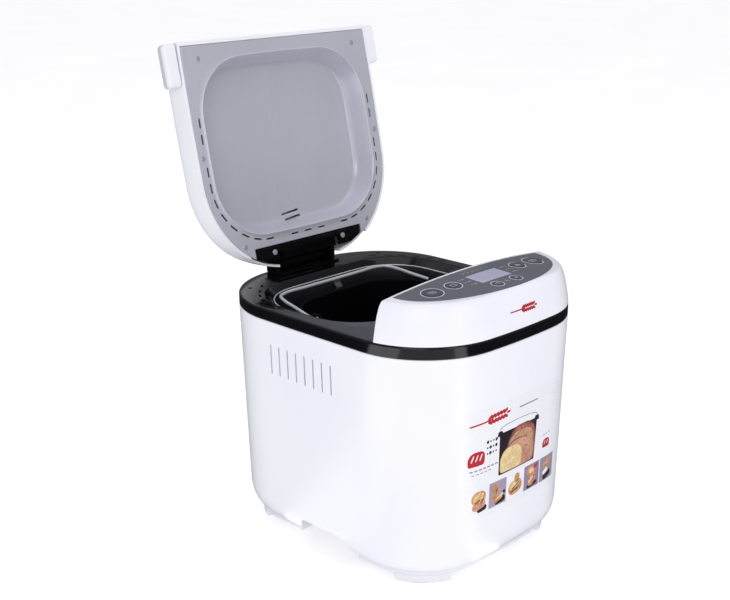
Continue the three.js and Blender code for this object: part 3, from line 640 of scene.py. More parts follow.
def carve(piece: Piece, *steps: tuple[Cut, Piece]) -> Piece:
    """Cuts a piece with closed tools, one after another, and removes the tools.

    Args:
        piece: The piece, whose earlier modifiers are applied first.
        *steps: What to do, and the tool to do it with.

    Returns:
        The piece with its new mesh.
    """
    for how, tool in steps:
        modifier = piece.modifiers.new("carve", "BOOLEAN")
        modifier.operation = how.value
        modifier.solver = "EXACT"
        modifier.object = tool
    apply_modifiers(piece)
    for _, tool in steps:
        bpy.data.objects.remove(tool)
    soften(piece)
    return piece


def apply_modifiers(piece: Piece) -> None:
    """Replaces a piece's mesh by the result of its modifiers.

    Args:
        piece: The piece.
    """
    bpy.context.view_layer.update()
    graph = bpy.context.evaluated_depsgraph_get()
    mesh = bpy.data.meshes.new_from_object(piece.evaluated_get(graph))
    mesh.name = piece.name
    piece.modifiers.clear()
    piece.data = mesh


def round_edges(piece: Piece, width_mm: float, segments: int = 2, angle_deg: float = 40.0) -> None:
    """Rounds a piece's sharp edges with a Bevel modifier, applied at once.

    Args:
        piece: The piece.
        width_mm: Width of the rounding.
        segments: Faces across it.
        angle_deg: The least angle to round.
    """
    modifier = piece.modifiers.new("rounding", "BEVEL")
    modifier.width = width_mm * MM
    modifier.segments = segments
    modifier.limit_method = "ANGLE"
    modifier.angle_limit = math.radians(angle_deg)
    modifier.use_clamp_overlap = True
    apply_modifiers(piece)
    soften(piece, 50.0)


def refined(frame: dict[str, Any], node: str, name: str, width_mm: float) -> Piece:
    """A CAD node's shape with its points merged, its flat faces joined and its edges rounded.

    Args:
        node: The CAD node.
        name: The new piece's name.
        width_mm: Width of the rounding.

    Returns:
        The new piece, at the origin.
    """
    mesh = frame["nodes"][node].data.copy()
    mesh.name = name
    work = bmesh.new()
    work.from_mesh(mesh)
    bmesh.ops.remove_doubles(work, verts=work.verts, dist=2e-6)
    bmesh.ops.dissolve_limit(work, angle_limit=math.radians(1.5), verts=work.verts, edges=work.edges)
    work.to_mesh(mesh)
    work.free()
    mesh.materials.clear()
    piece = bpy.data.objects.new(name, mesh)
    bpy.context.scene.collection.objects.link(piece)
    round_edges(piece, width_mm)
    return piece


# ---------- shader nodes


class NodeBoard:
    """Adds and links nodes in one node tree."""

    def __init__(self, tree: bpy.types.NodeTree) -> None:
        """Keeps the tree to build in."""
        self.tree = tree

    def add(self, kind: str, inputs: Optional[dict[Any, Any]] = None, **settings: Any) -> Node:
        """Adds a node, sets its properties, then links or sets its inputs.

        Args:
            kind: The node's type name.
            inputs: Socket name or number to another node's output, or to a value.
            **settings: Properties of the node itself.

        Returns:
            The new node.
        """
        node = self.tree.nodes.new(kind)
        for key, value in settings.items():
            setattr(node, key, value)
        self.join(node, inputs or {})
        return node

    def join(self, node: Node, inputs: dict[Any, Any]) -> None:
        """Links or sets a node's inputs.

        Args:
            node: The node.
            inputs: Socket name or number to another node's output, or to a value.
        """
        for key, value in inputs.items():
            if isinstance(value, Link):
                self.tree.links.new(value, node.inputs[key])
            else:
                node.inputs[key].default_value = value

    def noise(self, vector: Link, scale: Any, detail: float = 3.0, rough: float = 0.55) -> Link:
        """Fractal noise over a vector."""
        inputs = {"Vector": vector, "Scale": scale, "Detail": detail, "Roughness": rough}
        return self.add("ShaderNodeTexNoise", inputs).outputs["Fac"]

    def math(self, operation: str, a: Any, b: Any = 0.0, clamp: bool = False) -> Link:
        """One sum on two values."""
        return self.add("ShaderNodeMath", {0: a, 1: b}, operation=operation, use_clamp=clamp).outputs[0]

    def times(self, a: Any, b: Any) -> Link:
        """Two values multiplied."""
        return self.math("MULTIPLY", a, b)

    def range(self, value: Link, low: float, high: float, to_low: float = 0, to_high: float = 1) -> Link:
        """A value carried from one range to another, smoothly and clamped."""
        inputs = {0: value, 1: low, 2: high, 3: to_low, 4: to_high}
        return self.add("ShaderNodeMapRange", inputs, interpolation_type="SMOOTHSTEP").outputs[0]

    def blend(self, factor: Any, a: Any, b: Any) -> Link:
        """Two colours mixed by a factor."""
        return self.add("ShaderNodeMix", {0: factor, 6: a, 7: b}, data_type="RGBA").outputs[2]

    def stretch(self, vector: Link, scale: Sequence[float], turn: Sequence[float] = (0, 0, 0)) -> Link:
        """A vector scaled along each axis and turned."""
        inputs = {"Vector": vector, "Scale": scale, "Rotation": turn}
        return self.add("ShaderNodeMapping", inputs).outputs[0]


def rgba(colour: Sequence[float]) -> tuple[float, float, float, float]:
    """A colour with full alpha."""
    return (colour[0], colour[1], colour[2], 1.0)


class EffectBoard(NodeBoard):
    """A node group that the finishes share, filled by the method that has its name."""

    KINDS = {"Vector": "Vector", "Normal": "Vector", "Base": "Color", "Tint": "Color", "Colour": "Color"}
    SOCKETS = {
        "fine_grain": ("Vector Scale Depth", "Normal Mask"),
        "tone_drift": ("Vector Base Tint Amount", "Colour Mask"),
        "handling_wear": ("Vector Amount", "Scuffs Smears"),
        "edge_wear": ("Vector Amount", "Mask"),
        "dust_film": ("Vector Amount", "Mask"),
        "drawn_lines": ("Vector Scale Depth", "Normal Mask"),
    }

    def __init__(self, name: str) -> None:
        """Makes the group with its sockets, and fills it.

        Args:
            name: The group's name.
        """
        super().__init__(bpy.data.node_groups.new(name, "ShaderNodeTree"))
        for sockets, way in zip(self.SOCKETS[name], ("INPUT", "OUTPUT")):
            for socket in sockets.split():
                kind = "NodeSocket" + self.KINDS.get(socket, "Float")
                self.tree.interface.new_socket(socket, in_out=way, socket_type=kind)
        self.given = self.add("NodeGroupInput").outputs
        self.end = self.add("NodeGroupOutput")
        getattr(self, name)()

    def bump(self, height: Link) -> Link:
        """A normal bumped by a height, as deep as the group is told."""
        inputs = {"Strength": 1.0, "Distance": self.given["Depth"], "Height": height}
        return self.add("ShaderNodeBump", inputs).outputs[0]

    def fine_grain(self) -> None:
        """Moulded texture: fine noise and a long slow ripple, as a bump of the given depth."""
        vector, scale = self.given["Vector"], self.given["Scale"]
        fine = self.noise(vector, scale, 4.0, 0.6)
        slow = self.noise(vector, self.times(scale, 0.045), 2.0, 0.5)
        height = self.math("ADD", fine, self.times(slow, 2.5))
        self.join(self.end, {"Normal": self.bump(height), "Mask": self.range(fine, 0.3, 0.7)})

    def tone_drift(self) -> None:
        """A slow wander of the base colour towards a tint, broken up by a finer noise."""
        vector = self.given["Vector"]
        broad = self.range(self.noise(vector, 7.0, 2.0), 0.3, 0.7)
        fine = self.noise(vector, 90.0, 3.0)
        mask = self.times(broad, self.math("ADD", 0.6, self.times(fine, 0.8)))
        factor = self.math("MULTIPLY", mask, self.given["Amount"], clamp=True)
        colour = self.blend(factor, self.given["Base"], self.given["Tint"])
        self.join(self.end, {"Colour": colour, "Mask": mask})

    def handling_wear(self) -> None:
        """Hairline scuffs in two directions, and the broad smears that hands and cloths leave."""
        vector, amount = self.given["Vector"], self.given["Amount"]
        one = self.noise(self.stretch(vector, (900, 24, 60), (0.2, 0.5, 0.7)), 1.0, 3.0)
        two = self.noise(self.stretch(vector, (30, 700, 26), (0.7, 0.1, -0.5)), 1.0, 3.0)
        lines = self.math("MAXIMUM", self.range(one, 0.66, 0.74), self.range(two, 0.67, 0.75))
        patches = self.range(self.noise(vector, 22.0, 2.0), 0.5, 0.68)
        smear = self.range(self.noise(self.stretch(vector, (9, 14, 30)), 1.0, 4.0), 0.42, 0.72)
        scuffs = self.times(self.times(lines, patches), amount)
        self.join(self.end, {"Scuffs": scuffs, "Smears": self.times(smear, amount)})

    def edge_wear(self) -> None:
        """Where the surface turns sharply outwards, broken up by noise."""
        sharp = self.range(self.add("ShaderNodeNewGeometry").outputs["Pointiness"], 0.53, 0.6)
        broken = self.range(self.noise(self.given["Vector"], 240.0, 3.0), 0.35, 0.65)
        self.join(self.end, {"Mask": self.times(self.times(sharp, broken), self.given["Amount"])})

    def dust_film(self) -> None:
        """A film of dust on what faces up, with specks in it."""
        vector = self.given["Vector"]
        normal = self.add("ShaderNodeNewGeometry").outputs["Normal"]
        facing = self.range(self.add("ShaderNodeSeparateXYZ", {0: normal}).outputs["Z"], 0.45, 0.98)
        film = self.range(self.noise(vector, 55.0, 5.0, 0.7), 0.35, 0.75)
        specks = self.range(self.noise(vector, 1500.0, 1.0), 0.7, 0.76)
        both = self.math("ADD", self.times(film, 0.6), specks, clamp=True)
        self.join(self.end, {"Mask": self.times(self.times(facing, both), self.given["Amount"])})

    def drawn_lines(self) -> None:
        """Rolling lines of sheet metal: noise drawn out along Y and Z, and a fine speckle."""
        vector, scale = self.given["Vector"], self.given["Scale"]
        lines = self.noise(self.stretch(vector, (1.0, 0.03, 0.05)), scale, 4.0, 0.7)
        speckle = self.noise(vector, self.times(scale, 1.7), 2.0)
        height = self.math("ADD", lines, self.times(speckle, 0.5))
        self.join(self.end, {"Normal": self.bump(height), "Mask": self.range(lines, 0.3, 0.7)})


@cache
def effect_tree(name: str) -> bpy.types.NodeTree:
    """A shared group's tree, built once when first asked for."""
    return EffectBoard(name).tree


class MaterialBoard(NodeBoard):
    """The node tree of one material, with its Principled shader and its Object coordinates."""

    def __init__(self, name: str, constants: dict[str, Any]) -> None:
        """Makes the material and sets constants on the shader's own sockets.

        Args:
            name: The material's name.
            constants: Socket name to value.
        """
        self.material = bpy.data.materials.new(name)
        self.material.use_nodes = True
        super().__init__(self.material.node_tree)
        self.shader = self.tree.nodes["Principled BSDF"]
        self.join(self.shader, constants)
        self.vector = self.add("ShaderNodeTexCoord").outputs["Object"]

    def effect(self, name: str, **inputs: Any) -> bpy.types.bpy_prop_collection:
        """Adds a shared group and gives its outputs."""
        node = self.add("ShaderNodeGroup", {"Vector": self.vector, **inputs}, node_tree=effect_tree(name))
        return node.outputs


# ---------- finishes


def lighter(colour: Colour, share: float) -> tuple[float, float, float, float]:
    """A colour moved a share of the way to white, or with a negative share to black."""
    goal = 1.0 if share > 0 else 0.0
    return rgba([c + (goal - c) * abs(share) for c in colour])


@dataclass(frozen=True)
class Moulded:
    """Moulded plastic or rubber: toned colour, moulding grain, scuffs, bright edges and dust."""

    name: str
    colour: Colour
    tint: Colour
    roughness: float
    grain_scale: float
    grain_depth: float
    wear: float
    edge: float
    dust: float
    specular: float = 0.5
    coat: float = 0.0
    tone: float = 0.6
    slot: str = "white_housing"

    def material(self) -> bpy.types.Material:
        """Builds the material.

        Returns:
            The material.
        """
        constants = {"Specular IOR Level": self.specular, "Coat Weight": self.coat, "Coat Roughness": 0.08}
        board = MaterialBoard(self.name, constants)
        tone = board.effect("tone_drift", Base=rgba(self.colour), Tint=rgba(self.tint), Amount=self.tone)
        grain = board.effect("fine_grain", Scale=self.grain_scale, Depth=self.grain_depth)
        wear = board.effect("handling_wear", Amount=self.wear)
        edge = board.effect("edge_wear", Amount=self.edge)[0]
        dust = board.effect("dust_film", Amount=self.dust)[0]
        worn = board.blend(edge, tone["Colour"], lighter(self.colour, 0.3))
        scuffed = board.blend(board.times(wear["Scuffs"], 0.35), worn, lighter(self.colour, 0.45))
        rough: Any = self.roughness
        for mask, share in ((wear["Smears"], 0.12), (wear["Scuffs"], 0.25), (grain["Mask"], 0.03)):
            rough = board.math("ADD", rough, board.times(mask, share))
        links = {
            "Base Color": board.blend(dust, scuffed, rgba((0.6, 0.58, 0.55))),
            "Roughness": board.math("ADD", rough, board.times(dust, 0.5), clamp=True),
            "Normal": grain["Normal"],
        }
        board.join(board.shader, links)
        return board.material


@dataclass(frozen=True)
class Sheet:
    """Sheet or bar metal: drawn lines, stains, worn edges, and a metallic share that varies."""

    name: str
    colour: Colour
    tint: Colour
    metallic: float
    roughness: float
    line_scale: float
    line_depth: float
    wear: float
    edge: float
    dust: float
    anisotropic: float = 0.0
    slot: str = "bright_steel"

    def material(self) -> bpy.types.Material:
        """Builds the material.

        Returns:
            The material.
        """
        board = MaterialBoard(self.name, {"Anisotropic": self.anisotropic})
        tone = board.effect("tone_drift", Base=rgba(self.colour), Tint=rgba(self.tint), Amount=0.6)
        lines = board.effect("drawn_lines", Scale=self.line_scale, Depth=self.line_depth)
        wear = board.effect("handling_wear", Amount=self.wear)
        edge = board.effect("edge_wear", Amount=self.edge)[0]
        dust = board.effect("dust_film", Amount=self.dust)[0]
        streaked = board.blend(board.times(lines["Mask"], 0.14), tone["Colour"], lighter(self.colour, -0.35))
        worn = board.blend(edge, streaked, lighter(self.colour, 0.35))
        rough = board.math("ADD", self.roughness, board.times(wear["Smears"], 0.16))
        links = {
            "Base Color": board.blend(dust, worn, rgba((0.5, 0.48, 0.45))),
            "Roughness": board.math("ADD", rough, board.times(lines["Mask"], 0.06), clamp=True),
            "Metallic": board.math("SUBTRACT", self.metallic, board.times(dust, 0.6), clamp=True),
            "Normal": lines["Normal"],
        }
        board.join(board.shader, links)
        return board.material


@dataclass(frozen=True)
class Baked:
    """A picture of bread in ink: crumb or crust mottled in three tones, with dark seeds or glaze."""

    name: str
    crumb: Colour
    crust: Colour
    seed: Colour
    scale: float
    seeds: float
    slot: str = "white_housing"

    def material(self) -> bpy.types.Material:
        """Builds the material.

        Returns:
            The material.
        """
        board = MaterialBoard(self.name, {"Specular IOR Level": 0.25})
        cells = board.add("ShaderNodeTexVoronoi", {"Vector": board.vector, "Scale": self.scale})
        lump = board.range(board.noise(board.vector, self.scale * 0.45, 4.0), 0.38, 0.62)
        pores = board.range(cells.outputs["Distance"], 0.1, 0.5)
        tone = board.blend(lump, rgba(self.crumb), rgba(self.crust))
        shaded = board.blend(board.times(pores, 0.3), tone, lighter(self.crumb, 0.2))
        dots = board.range(board.noise(board.vector, self.scale * 1.9, 2.0), 0.62, 0.68)
        links = {
            "Base Color": board.blend(board.times(dots, self.seeds), shaded, rgba(self.seed)),
            "Roughness": board.range(lump, 0.0, 1.0, 0.3, 0.42),
            "Normal": board.effect("fine_grain", Scale=1200.0, Depth=0.000008)["Normal"],
        }
        board.join(board.shader, links)
        return board.material


def ink(name: str, colour: Colour, tint: Colour, specular: float = 0.25, tone: float = 0.6) -> Moulded:
    """Print on the label."""
    return Moulded(name, colour, tint, 0.4, 1200, 0.000003, 0.3, 0.05, 0.01, specular, tone=tone)


class Finish(Enum):
    """Every finish on the machine; each names the record's slot that it belongs to."""

    WHITE = Moulded(
        "white_gloss", (0.875, 0.875, 0.925), (0.83, 0.83, 0.9), 0.22, 700, 5e-6, 0.12, 0.08, 0.02, 0.35
    )
    BASE_WHITE = Moulded("white_base", (0.82, 0.82, 0.87), (0.75, 0.75, 0.82), 0.36, 1100, 2e-5, 0.5, 0.15, 0.03)
    BLACK = Moulded(
        "black_gloss", (0.002, 0.002, 0.003), (0.005, 0.005, 0.008), 0.1, 500, 3e-6, 0.03, 0.01, 0.001, 0.55,
        tone=0.8, slot="black_trim",
    )
    HINGE_BLACK = Moulded(
        "black_satin", (0.0015, 0.0015, 0.002), (0.004, 0.004, 0.005), 0.24, 900, 1e-5, 0.1, 0.02, 0.001, 0.1,
        tone=0.8, slot="black_trim",
    )
    PANEL = Moulded(
        "panel_film", (0.122, 0.122, 0.15), (0.15, 0.15, 0.18), 0.3, 1500, 8e-6, 0.1, 0.05, 0.01, 0.25,
        slot="panel_grey",
    )
    KEY = Moulded(
        "key_film", (0.07, 0.07, 0.095), (0.09, 0.09, 0.115), 0.24, 1500, 8e-6, 0.1, 0.06, 0.01, 0.25,
        slot="key_grey",
    )
    KEY_RING = Moulded(
        "ring_grey", (0.58, 0.59, 0.65), (0.66, 0.66, 0.72), 0.3, 1500, 5e-6, 0.3, 0.2, 0.04, slot="panel_grey"
    )
    KEY_INK = Moulded(
        "ink_pale", (0.36, 0.37, 0.43), (0.44, 0.44, 0.5), 0.3, 1500, 5e-6, 0.3, 0.2, 0.04, slot="panel_grey"
    )
    LENS = Moulded(
        "display_face", (0.44, 0.45, 0.6), (0.52, 0.53, 0.68), 0.09, 400, 2e-6, 0.2, 0.0, 0.02, coat=0.3,
        slot="display_lens",
    )
    SEGMENT = Moulded(
        "display_segment", (0.37, 0.38, 0.51), (0.4, 0.41, 0.54), 0.2, 800, 2e-6, 0.1, 0.0, 0.0, slot="display_lens"
    )
    LINER = Sheet(
        "liner_silver", (0.68, 0.685, 0.77), (0.6, 0.605, 0.69), 0.4, 0.3, 1300, 4e-6, 0.4, 0.25, 0.02,
        slot="silver_sheet",
    )
    # A lighter copy of the liner's sheet: a painted highlight on the bead and the louvre lips.
    BEAD = Sheet(
        "liner_bead", (0.82, 0.82, 0.88), (0.74, 0.74, 0.8), 0.4, 0.3, 1500, 4e-6, 0.3, 0.2, 0.0,
        slot="silver_sheet",
    )
    CHAMBER = Sheet(
        "chamber_sheet", (0.05, 0.052, 0.065), (0.03, 0.03, 0.04), 0.7, 0.26, 900, 1.2e-5, 0.7, 0.3, 0.03,
        slot="silver_sheet",
    )
    STEEL = Sheet("steel_bright", (0.78, 0.79, 0.84), (0.68, 0.69, 0.74), 0.5, 0.2, 1800, 3e-6, 0.5, 0.2, 0.01, 0.3)
    SCREW = Sheet("screw_steel", (0.68, 0.68, 0.74), (0.56, 0.56, 0.62), 0.65, 0.26, 1800, 4e-6, 0.5, 0.3, 0.02)
    ELEMENT = Sheet("element_tube", (0.2, 0.19, 0.19), (0.12, 0.1, 0.1), 0.8, 0.45, 1200, 1e-5, 0.7, 0.3, 0.05)
    COATING = Moulded(
        "coating_black", (0.002, 0.002, 0.003), (0.005, 0.005, 0.007), 0.3, 1700, 1.4e-5, 0.05, 0.02, 0.001, 0.05,
        slot="pan_coating",
    )
    RUBBER = Moulded(
        "black_rubber", (0.02, 0.02, 0.02), (0.035, 0.034, 0.033), 0.8, 1500, 6e-5, 0.6, 0.3, 0.3, slot="rubber"
    )
    BOARD = Moulded(
        "board_green", (0.03, 0.13, 0.06), (0.05, 0.19, 0.08), 0.4, 700, 4e-5, 0.4, 0.2, 0.15, tone=1.0,
        slot="circuit_board",
    )
    CERAMIC = Moulded(
        "fired_ceramic", (0.72, 0.68, 0.6), (0.6, 0.55, 0.48), 0.55, 1400, 5e-5, 0.4, 0.3, 0.1, slot="ceramic"
    )
    STICKER = Moulded("sticker_white", (0.86, 0.86, 0.9), (0.82, 0.82, 0.88), 0.26, 900, 3e-6, 0.3, 0.05, 0.01)
    INK_RED = ink("ink_red", (0.5, 0.02, 0.03), (0.4, 0.015, 0.025))
    INK_GREY = ink("ink_grey", (0.24, 0.24, 0.29), (0.32, 0.3, 0.36))
    INK_LILAC = ink("ink_lilac", (0.42, 0.35, 0.48), (0.26, 0.18, 0.3), tone=1.0)
    INK_DARK = ink("ink_dark", (0.018, 0.014, 0.02), (0.05, 0.03, 0.04), 0.2, 1.0)
    CRUMB_PALE = Baked("crumb_pale", (0.78, 0.62, 0.32), (0.66, 0.46, 0.2), (0.42, 0.24, 0.08), 230, 0.5)
    CRUMB_SEEDED = Baked("crumb_seeded", (0.5, 0.27, 0.15), (0.36, 0.16, 0.08), (0.05, 0.025, 0.02), 260, 1.0)
    CRUMB_BROWN = Baked("crumb_brown", (0.6, 0.3, 0.19), (0.42, 0.17, 0.1), (0.12, 0.04, 0.03), 260, 0.9)
    CRUST_DARK = Baked("crust_dark", (0.16, 0.055, 0.035), (0.07, 0.022, 0.016), (0.02, 0.008, 0.006), 200, 0.7)
    CRUST_RED = Baked("crust_red", (0.46, 0.12, 0.05), (0.26, 0.05, 0.025), (0.08, 0.02, 0.015), 180, 0.7)
    CRUST_GOLD = Baked("crust_gold", (0.66, 0.33, 0.11), (0.42, 0.15, 0.04), (0.14, 0.04, 0.02), 220, 0.8)
    BERRY_TART = Baked("berry_tart", (0.68, 0.33, 0.24), (0.45, 0.13, 0.11), (0.14, 0.02, 0.03), 220, 0.9)

    def material(self) -> bpy.types.Material:
        """The finish's material, built on first use."""
        return bpy.data.materials.get(self.value.name) or self.value.material()


def settle(piece: Piece, finish: Finish, *nodes: str, body: str = "body") -> None:
    """Dresses a new piece, rides it on a body and lets it stand for CAD nodes.

    Args:
        piece: The piece, in place.
        finish: Its finish.
        *nodes: CAD nodes that it replaces.
        body: The body that it moves with.
    """
    piece.data.materials.clear()
    piece.data.materials.append(finish.material())
    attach(piece, body)
    if nodes:
        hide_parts(*nodes)
    LOG.info("%s: %d faces on %s", piece.name, len(piece.data.polygons), body)


def turned(
    name: str, profile: Sequence[Point], centre: Sequence[float], round_mm: float = 0, steps: int = 3, **shape: int
) -> Piece:
    """A piece turned on a lathe, its profile's corners rounded where round_mm is given.

    Args:
        name: The piece's name.
        profile: Corners as (radius, height).
        centre: Where the axis passes.
        round_mm: How far from each corner its rounding starts.
        steps: Spans in each rounding.
        **shape: The lathe's axis and sides.

    Returns:
        The piece.
    """
    line = rounded(profile, round_mm, steps) if round_mm else profile
    return lathe(line, centre, **shape).make(name)


# ---------- the dome


DOME_CURVE = 2.4  # power of the curve that the side rises by
DOME_LEAN = 1.08  # share of its lean that the side has at the crown
DOME_EASE_HALF = 110.0  # where across the easing of the front's lean ends


@dataclass(frozen=True)
class Dome:
    """The rounded cap that both the lid and the control housing are cut from."""

    plan: Plan
    foot: float
    lean: float
    ease: float = 1.0
    rows: int = 24
    crown_rows: int = 22

    def solid(self, name: str, place: Place, inset: float = 0.0, drop: float = 0.0, foot: float = 0.0) -> Piece:
        """A closed dome: side rings that rise ever more slowly by a power curve, then the crown.

        Args:
            name: The mesh's name.
            place: Which bench it is drawn on.
            inset: How far its outline moves in.
            drop: How far its crown moves down.
            foot: Height of its foot, or 0 for the dome's own.

        Returns:
            The dome as an object.
        """
        base_z = foot or self.foot
        t = np.linspace(0.0, 1.0, self.rows)
        base = self.plan.outline(inset)
        leant = np.stack([self.plan.outline(inset + self.lean * DOME_LEAN * s) for s in t])
        across = np.minimum(1.0, np.abs(base[:, 0]) / DOME_EASE_HALF) ** 2
        keep = np.where(base[:, 1] > HOUSING_REAR, 1.0, self.ease + (1 - self.ease) * across)
        xy = base + (leant - base) * keep[None, :, None]
        rise = (1 - (1 - t) ** DOME_CURVE)[:, None]
        z = base_z + (crown_z(xy[..., 0], xy[..., 1]) - drop - base_z) * rise
        side = np.concatenate([xy, z[..., None]], axis=-1)
        inward = xy[-1][None] * np.linspace(1.0, 0.0, self.crown_rows)[1:-1, None, None]
        crown = crown_z(inward[..., 0], inward[..., 1]) - drop
        top = np.concatenate([inward, crown[..., None]], axis=-1)
        pole = np.array([0.0, 0.0, float(crown_z(np.array(0.0), np.array(0.0))) - drop])
        skin = Skin().loft(np.concatenate([side, top]), low=np.array([0.0, 0.0, base_z]), high=pole)
        return skin.make(name, place, turn_out=False)


# ---------- decals


Surface = Callable[[Array, Array, float], Array]


def front_surface(u: Array, v: Array, proud: float) -> Array:
    """A point of the housing's front wall: u across, v up, proud of it by some millimetres."""
    y = BODY.front_y(u, wall_inset(v)) - proud
    return np.stack([u, y, v], axis=-1)


def crown_surface(u: Array, v: Array, proud: float) -> Array:
    """A point of the crown: u across, v towards the back, proud of it by some millimetres."""
    return np.stack([u, v, crown_z(u, v) + proud], axis=-1)


def evenly(outline: Array, step: float) -> Array:
    """Splits the long edges of a closed outline.

    Args:
        outline: Its points.
        step: The longest edge to leave.

    Returns:
        The points with new ones between them.
    """
    after = np.roll(outline, -1, axis=0)
    counts = np.maximum(1, np.ceil(np.linalg.norm(after - outline, axis=1) / step)).astype(int)
    spread = np.repeat(counts, counts)
    share = (np.arange(counts.sum()) - np.repeat(np.cumsum(counts) - counts, counts)) / spread
    return np.repeat(outline, counts, axis=0) + np.repeat(after - outline, counts, axis=0) * share[:, None]


def wheat_ear(u: float, v: float, length: float, turn: float = 0.0) -> list[Array]:
    """A plain ear of wheat: a stem, six pairs of leaning grains and one at the tip.

    Args:
        u: Its middle across.
        v: Its middle in the other direction.
        length: From the foot of the stem to the tip.
        turn: How far it is turned from lying along u.

    Returns:
        The outlines of its pieces.
    """
    shapes = [stadium(-0.22 * length, 0, 0.28 * length, 0.016 * length)]
    for pair in range(6):
        along = (-0.02 + 0.082 * pair) * length
        for side in (-1, 1):
            lean = side * math.radians(30)
            shapes.append(stadium(along, side * 0.05 * length, 0.064 * length, 0.03 * length, lean))
    shapes.append(stadium(0.47 * length, 0, 0.05 * length, 0.024 * length))
    return [shape @ turn_matrix(turn) + np.array([u, v]) for shape in shapes]


PATCH_STEP = 1.5  # longest edge of a patch's outline, in millimetres


def patch(skin: Skin, outline: Array, surface: Surface, proud: float, base: float = 0.0) -> Skin:
    """A thin closed patch on a surface, from rings that shrink from its outline to its middle.

    Args:
        skin: The skin to add to.
        outline: Its outline in the surface's own u and v, anticlockwise.
        surface: What it lies on.
        proud: Height of its top over the surface.
        base: Height of its underside.

    Returns:
        The skin.
    """
    outline = evenly(outline, PATCH_STEP)
    middle = (outline.max(axis=0) + outline.min(axis=0)) / 2
    reach = float(np.abs(outline - middle).max())
    inner = np.linspace(1 - 0.12 / reach, 0.0, max(4, math.ceil(reach / (2 * PATCH_STEP)) + 1))[:-1]
    shares = np.concatenate([[1.0, 1.0], inner])
    lifts = np.concatenate([[base, proud - 0.02], np.full(len(inner), proud)])
    rings = []
    for share, lift in zip(shares, lifts):
        flat = middle + (outline - middle) * share
        rings.append(surface(flat[:, 0], flat[:, 1], float(lift)))
    poles = [surface(middle[:1], middle[1:], h)[0] for h in (base, proud)]
    return skin.loft(np.stack(rings), low=poles[0], high=poles[1])


def patches(outlines: Sequence[Array], surface: Surface, proud: float, base: float) -> Skin:
    """A skin with a patch for each outline.

    Args:
        outlines: Their outlines.
        surface: What they lie on.
        proud: Height over the surface.
        base: Height of the underside.

    Returns:
        The skin.
    """
    skin = Skin()
    for outline in outlines:
        patch(skin, outline, surface, proud, base)
    return skin


def band(skin: Skin, outer: Array, inner: Array, surface: Surface, proud: float, base: float = 0.0) -> Skin:
    """A thin closed ring on a surface, between two outlines of equal point counts.

    Args:
        skin: The skin to add to.
        outer: The outer outline, in the surface's own u and v.
        inner: The inner outline.
        surface: What it lies on.
        proud: Height of its top over the surface.
        base: Height of its underside.

    Returns:
        The skin.
    """
    rings = [(outer, base), (outer, proud - 0.03), (outer * 0.9 + inner * 0.1, proud)]
    rings += [(outer * 0.1 + inner * 0.9, proud), (inner, proud - 0.03), (inner, base)]
    grid = np.stack([surface(o[:, 0], o[:, 1], lift) for o, lift in rings])
    return skin.loft(grid, loop=True)


@dataclass
class HousingShell:
    """The tall white shell: tapered walls, a curled foot, vent slots and the lifting recesses."""

    wall: float = 2.5
    vent_count: int = 8
    vent_pitch: float = 12.4
    vent_rearmost: float = 55.0
    vent_low: float = 186.0
    vent_high: float = 217.5
    vent_width: float = 2.0
    recess_middle: float = -8.0
    recess_floor_half: float = 42.0
    recess_roof_half: float = 30.0
    recess_roof: float = 32.0
    gland_x: float = 36.0
    gland_z: float = 46.0

    def recess_outline(self) -> Array:
        """The recess's rounded trapezium in Y and Z.

        Returns:
            Its points.
        """
        m, f, r = self.recess_middle, self.recess_floor_half, self.recess_roof_half
        corners = [(m - f - 6, 5), (m + f + 6, 5), (m + r, self.recess_roof), (m - r, self.recess_roof)]
        return rounded(corners, 7.0, 7)

    def shell(self) -> Piece:
        """Rings of the plan outline at each height, out up the wall and back down inside it.

        Returns:
            The piece.
        """
        curl = np.linspace(BODY_BOTTOM, FOOT_CURL_TOP, 14)
        heights = np.concatenate([curl, np.linspace(56, BODY_TOP - 0.6, 22), [BODY_TOP]])
        lean = wall_inset(heights)
        lean[-1] += 0.5
        outer = np.stack([BODY.level(i, z) for i, z in zip(lean, heights)])
        inner = np.stack([BODY.level(i + self.wall, z) for i, z in zip(lean, heights)])
        piece = Skin().loft(np.concatenate([outer, inner[::-1]]), loop=True).make("housing_shell", turn_out=False)
        middle, half = (self.vent_low + self.vent_high) / 2, (self.vent_high - self.vent_low) / 2
        rows = [self.vent_rearmost - index * self.vent_pitch for index in range(self.vent_count)]
        vents = [stadium(y, middle, half, self.vent_width / 2, math.pi / 2) for y in rows]
        tools = [cutter(vents, 0, -150, 150), cutter([self.recess_outline()], 0, -150, 150)]
        tools.append(cutter([circle(self.gland_x, self.gland_z, 9.5)], 1, 120, 180))
        return carve(piece, *[(Cut.REMOVE, tool) for tool in tools])

    def gland(self) -> Piece:
        """A grommet with a rounded flange and a tapered bore.

        Returns:
            The piece.
        """
        wall = BODY.rear - float(wall_inset(self.gland_z))
        profile = [(4, -9), (9.1, -9), (9.1, 0.3), (12, 0.3), (12, 2.6), (5.2, 2.8)]
        return turned("cord_grommet", profile, (self.gland_x, wall, self.gland_z), 0.8, 4, axis=1)

    def build(self) -> None:
        """Makes and settles the shell and its grommet."""
        settle(self.shell(), Finish.WHITE, "body_shell")
        settle(self.gland(), Finish.HINGE_BLACK, "cord_gland")


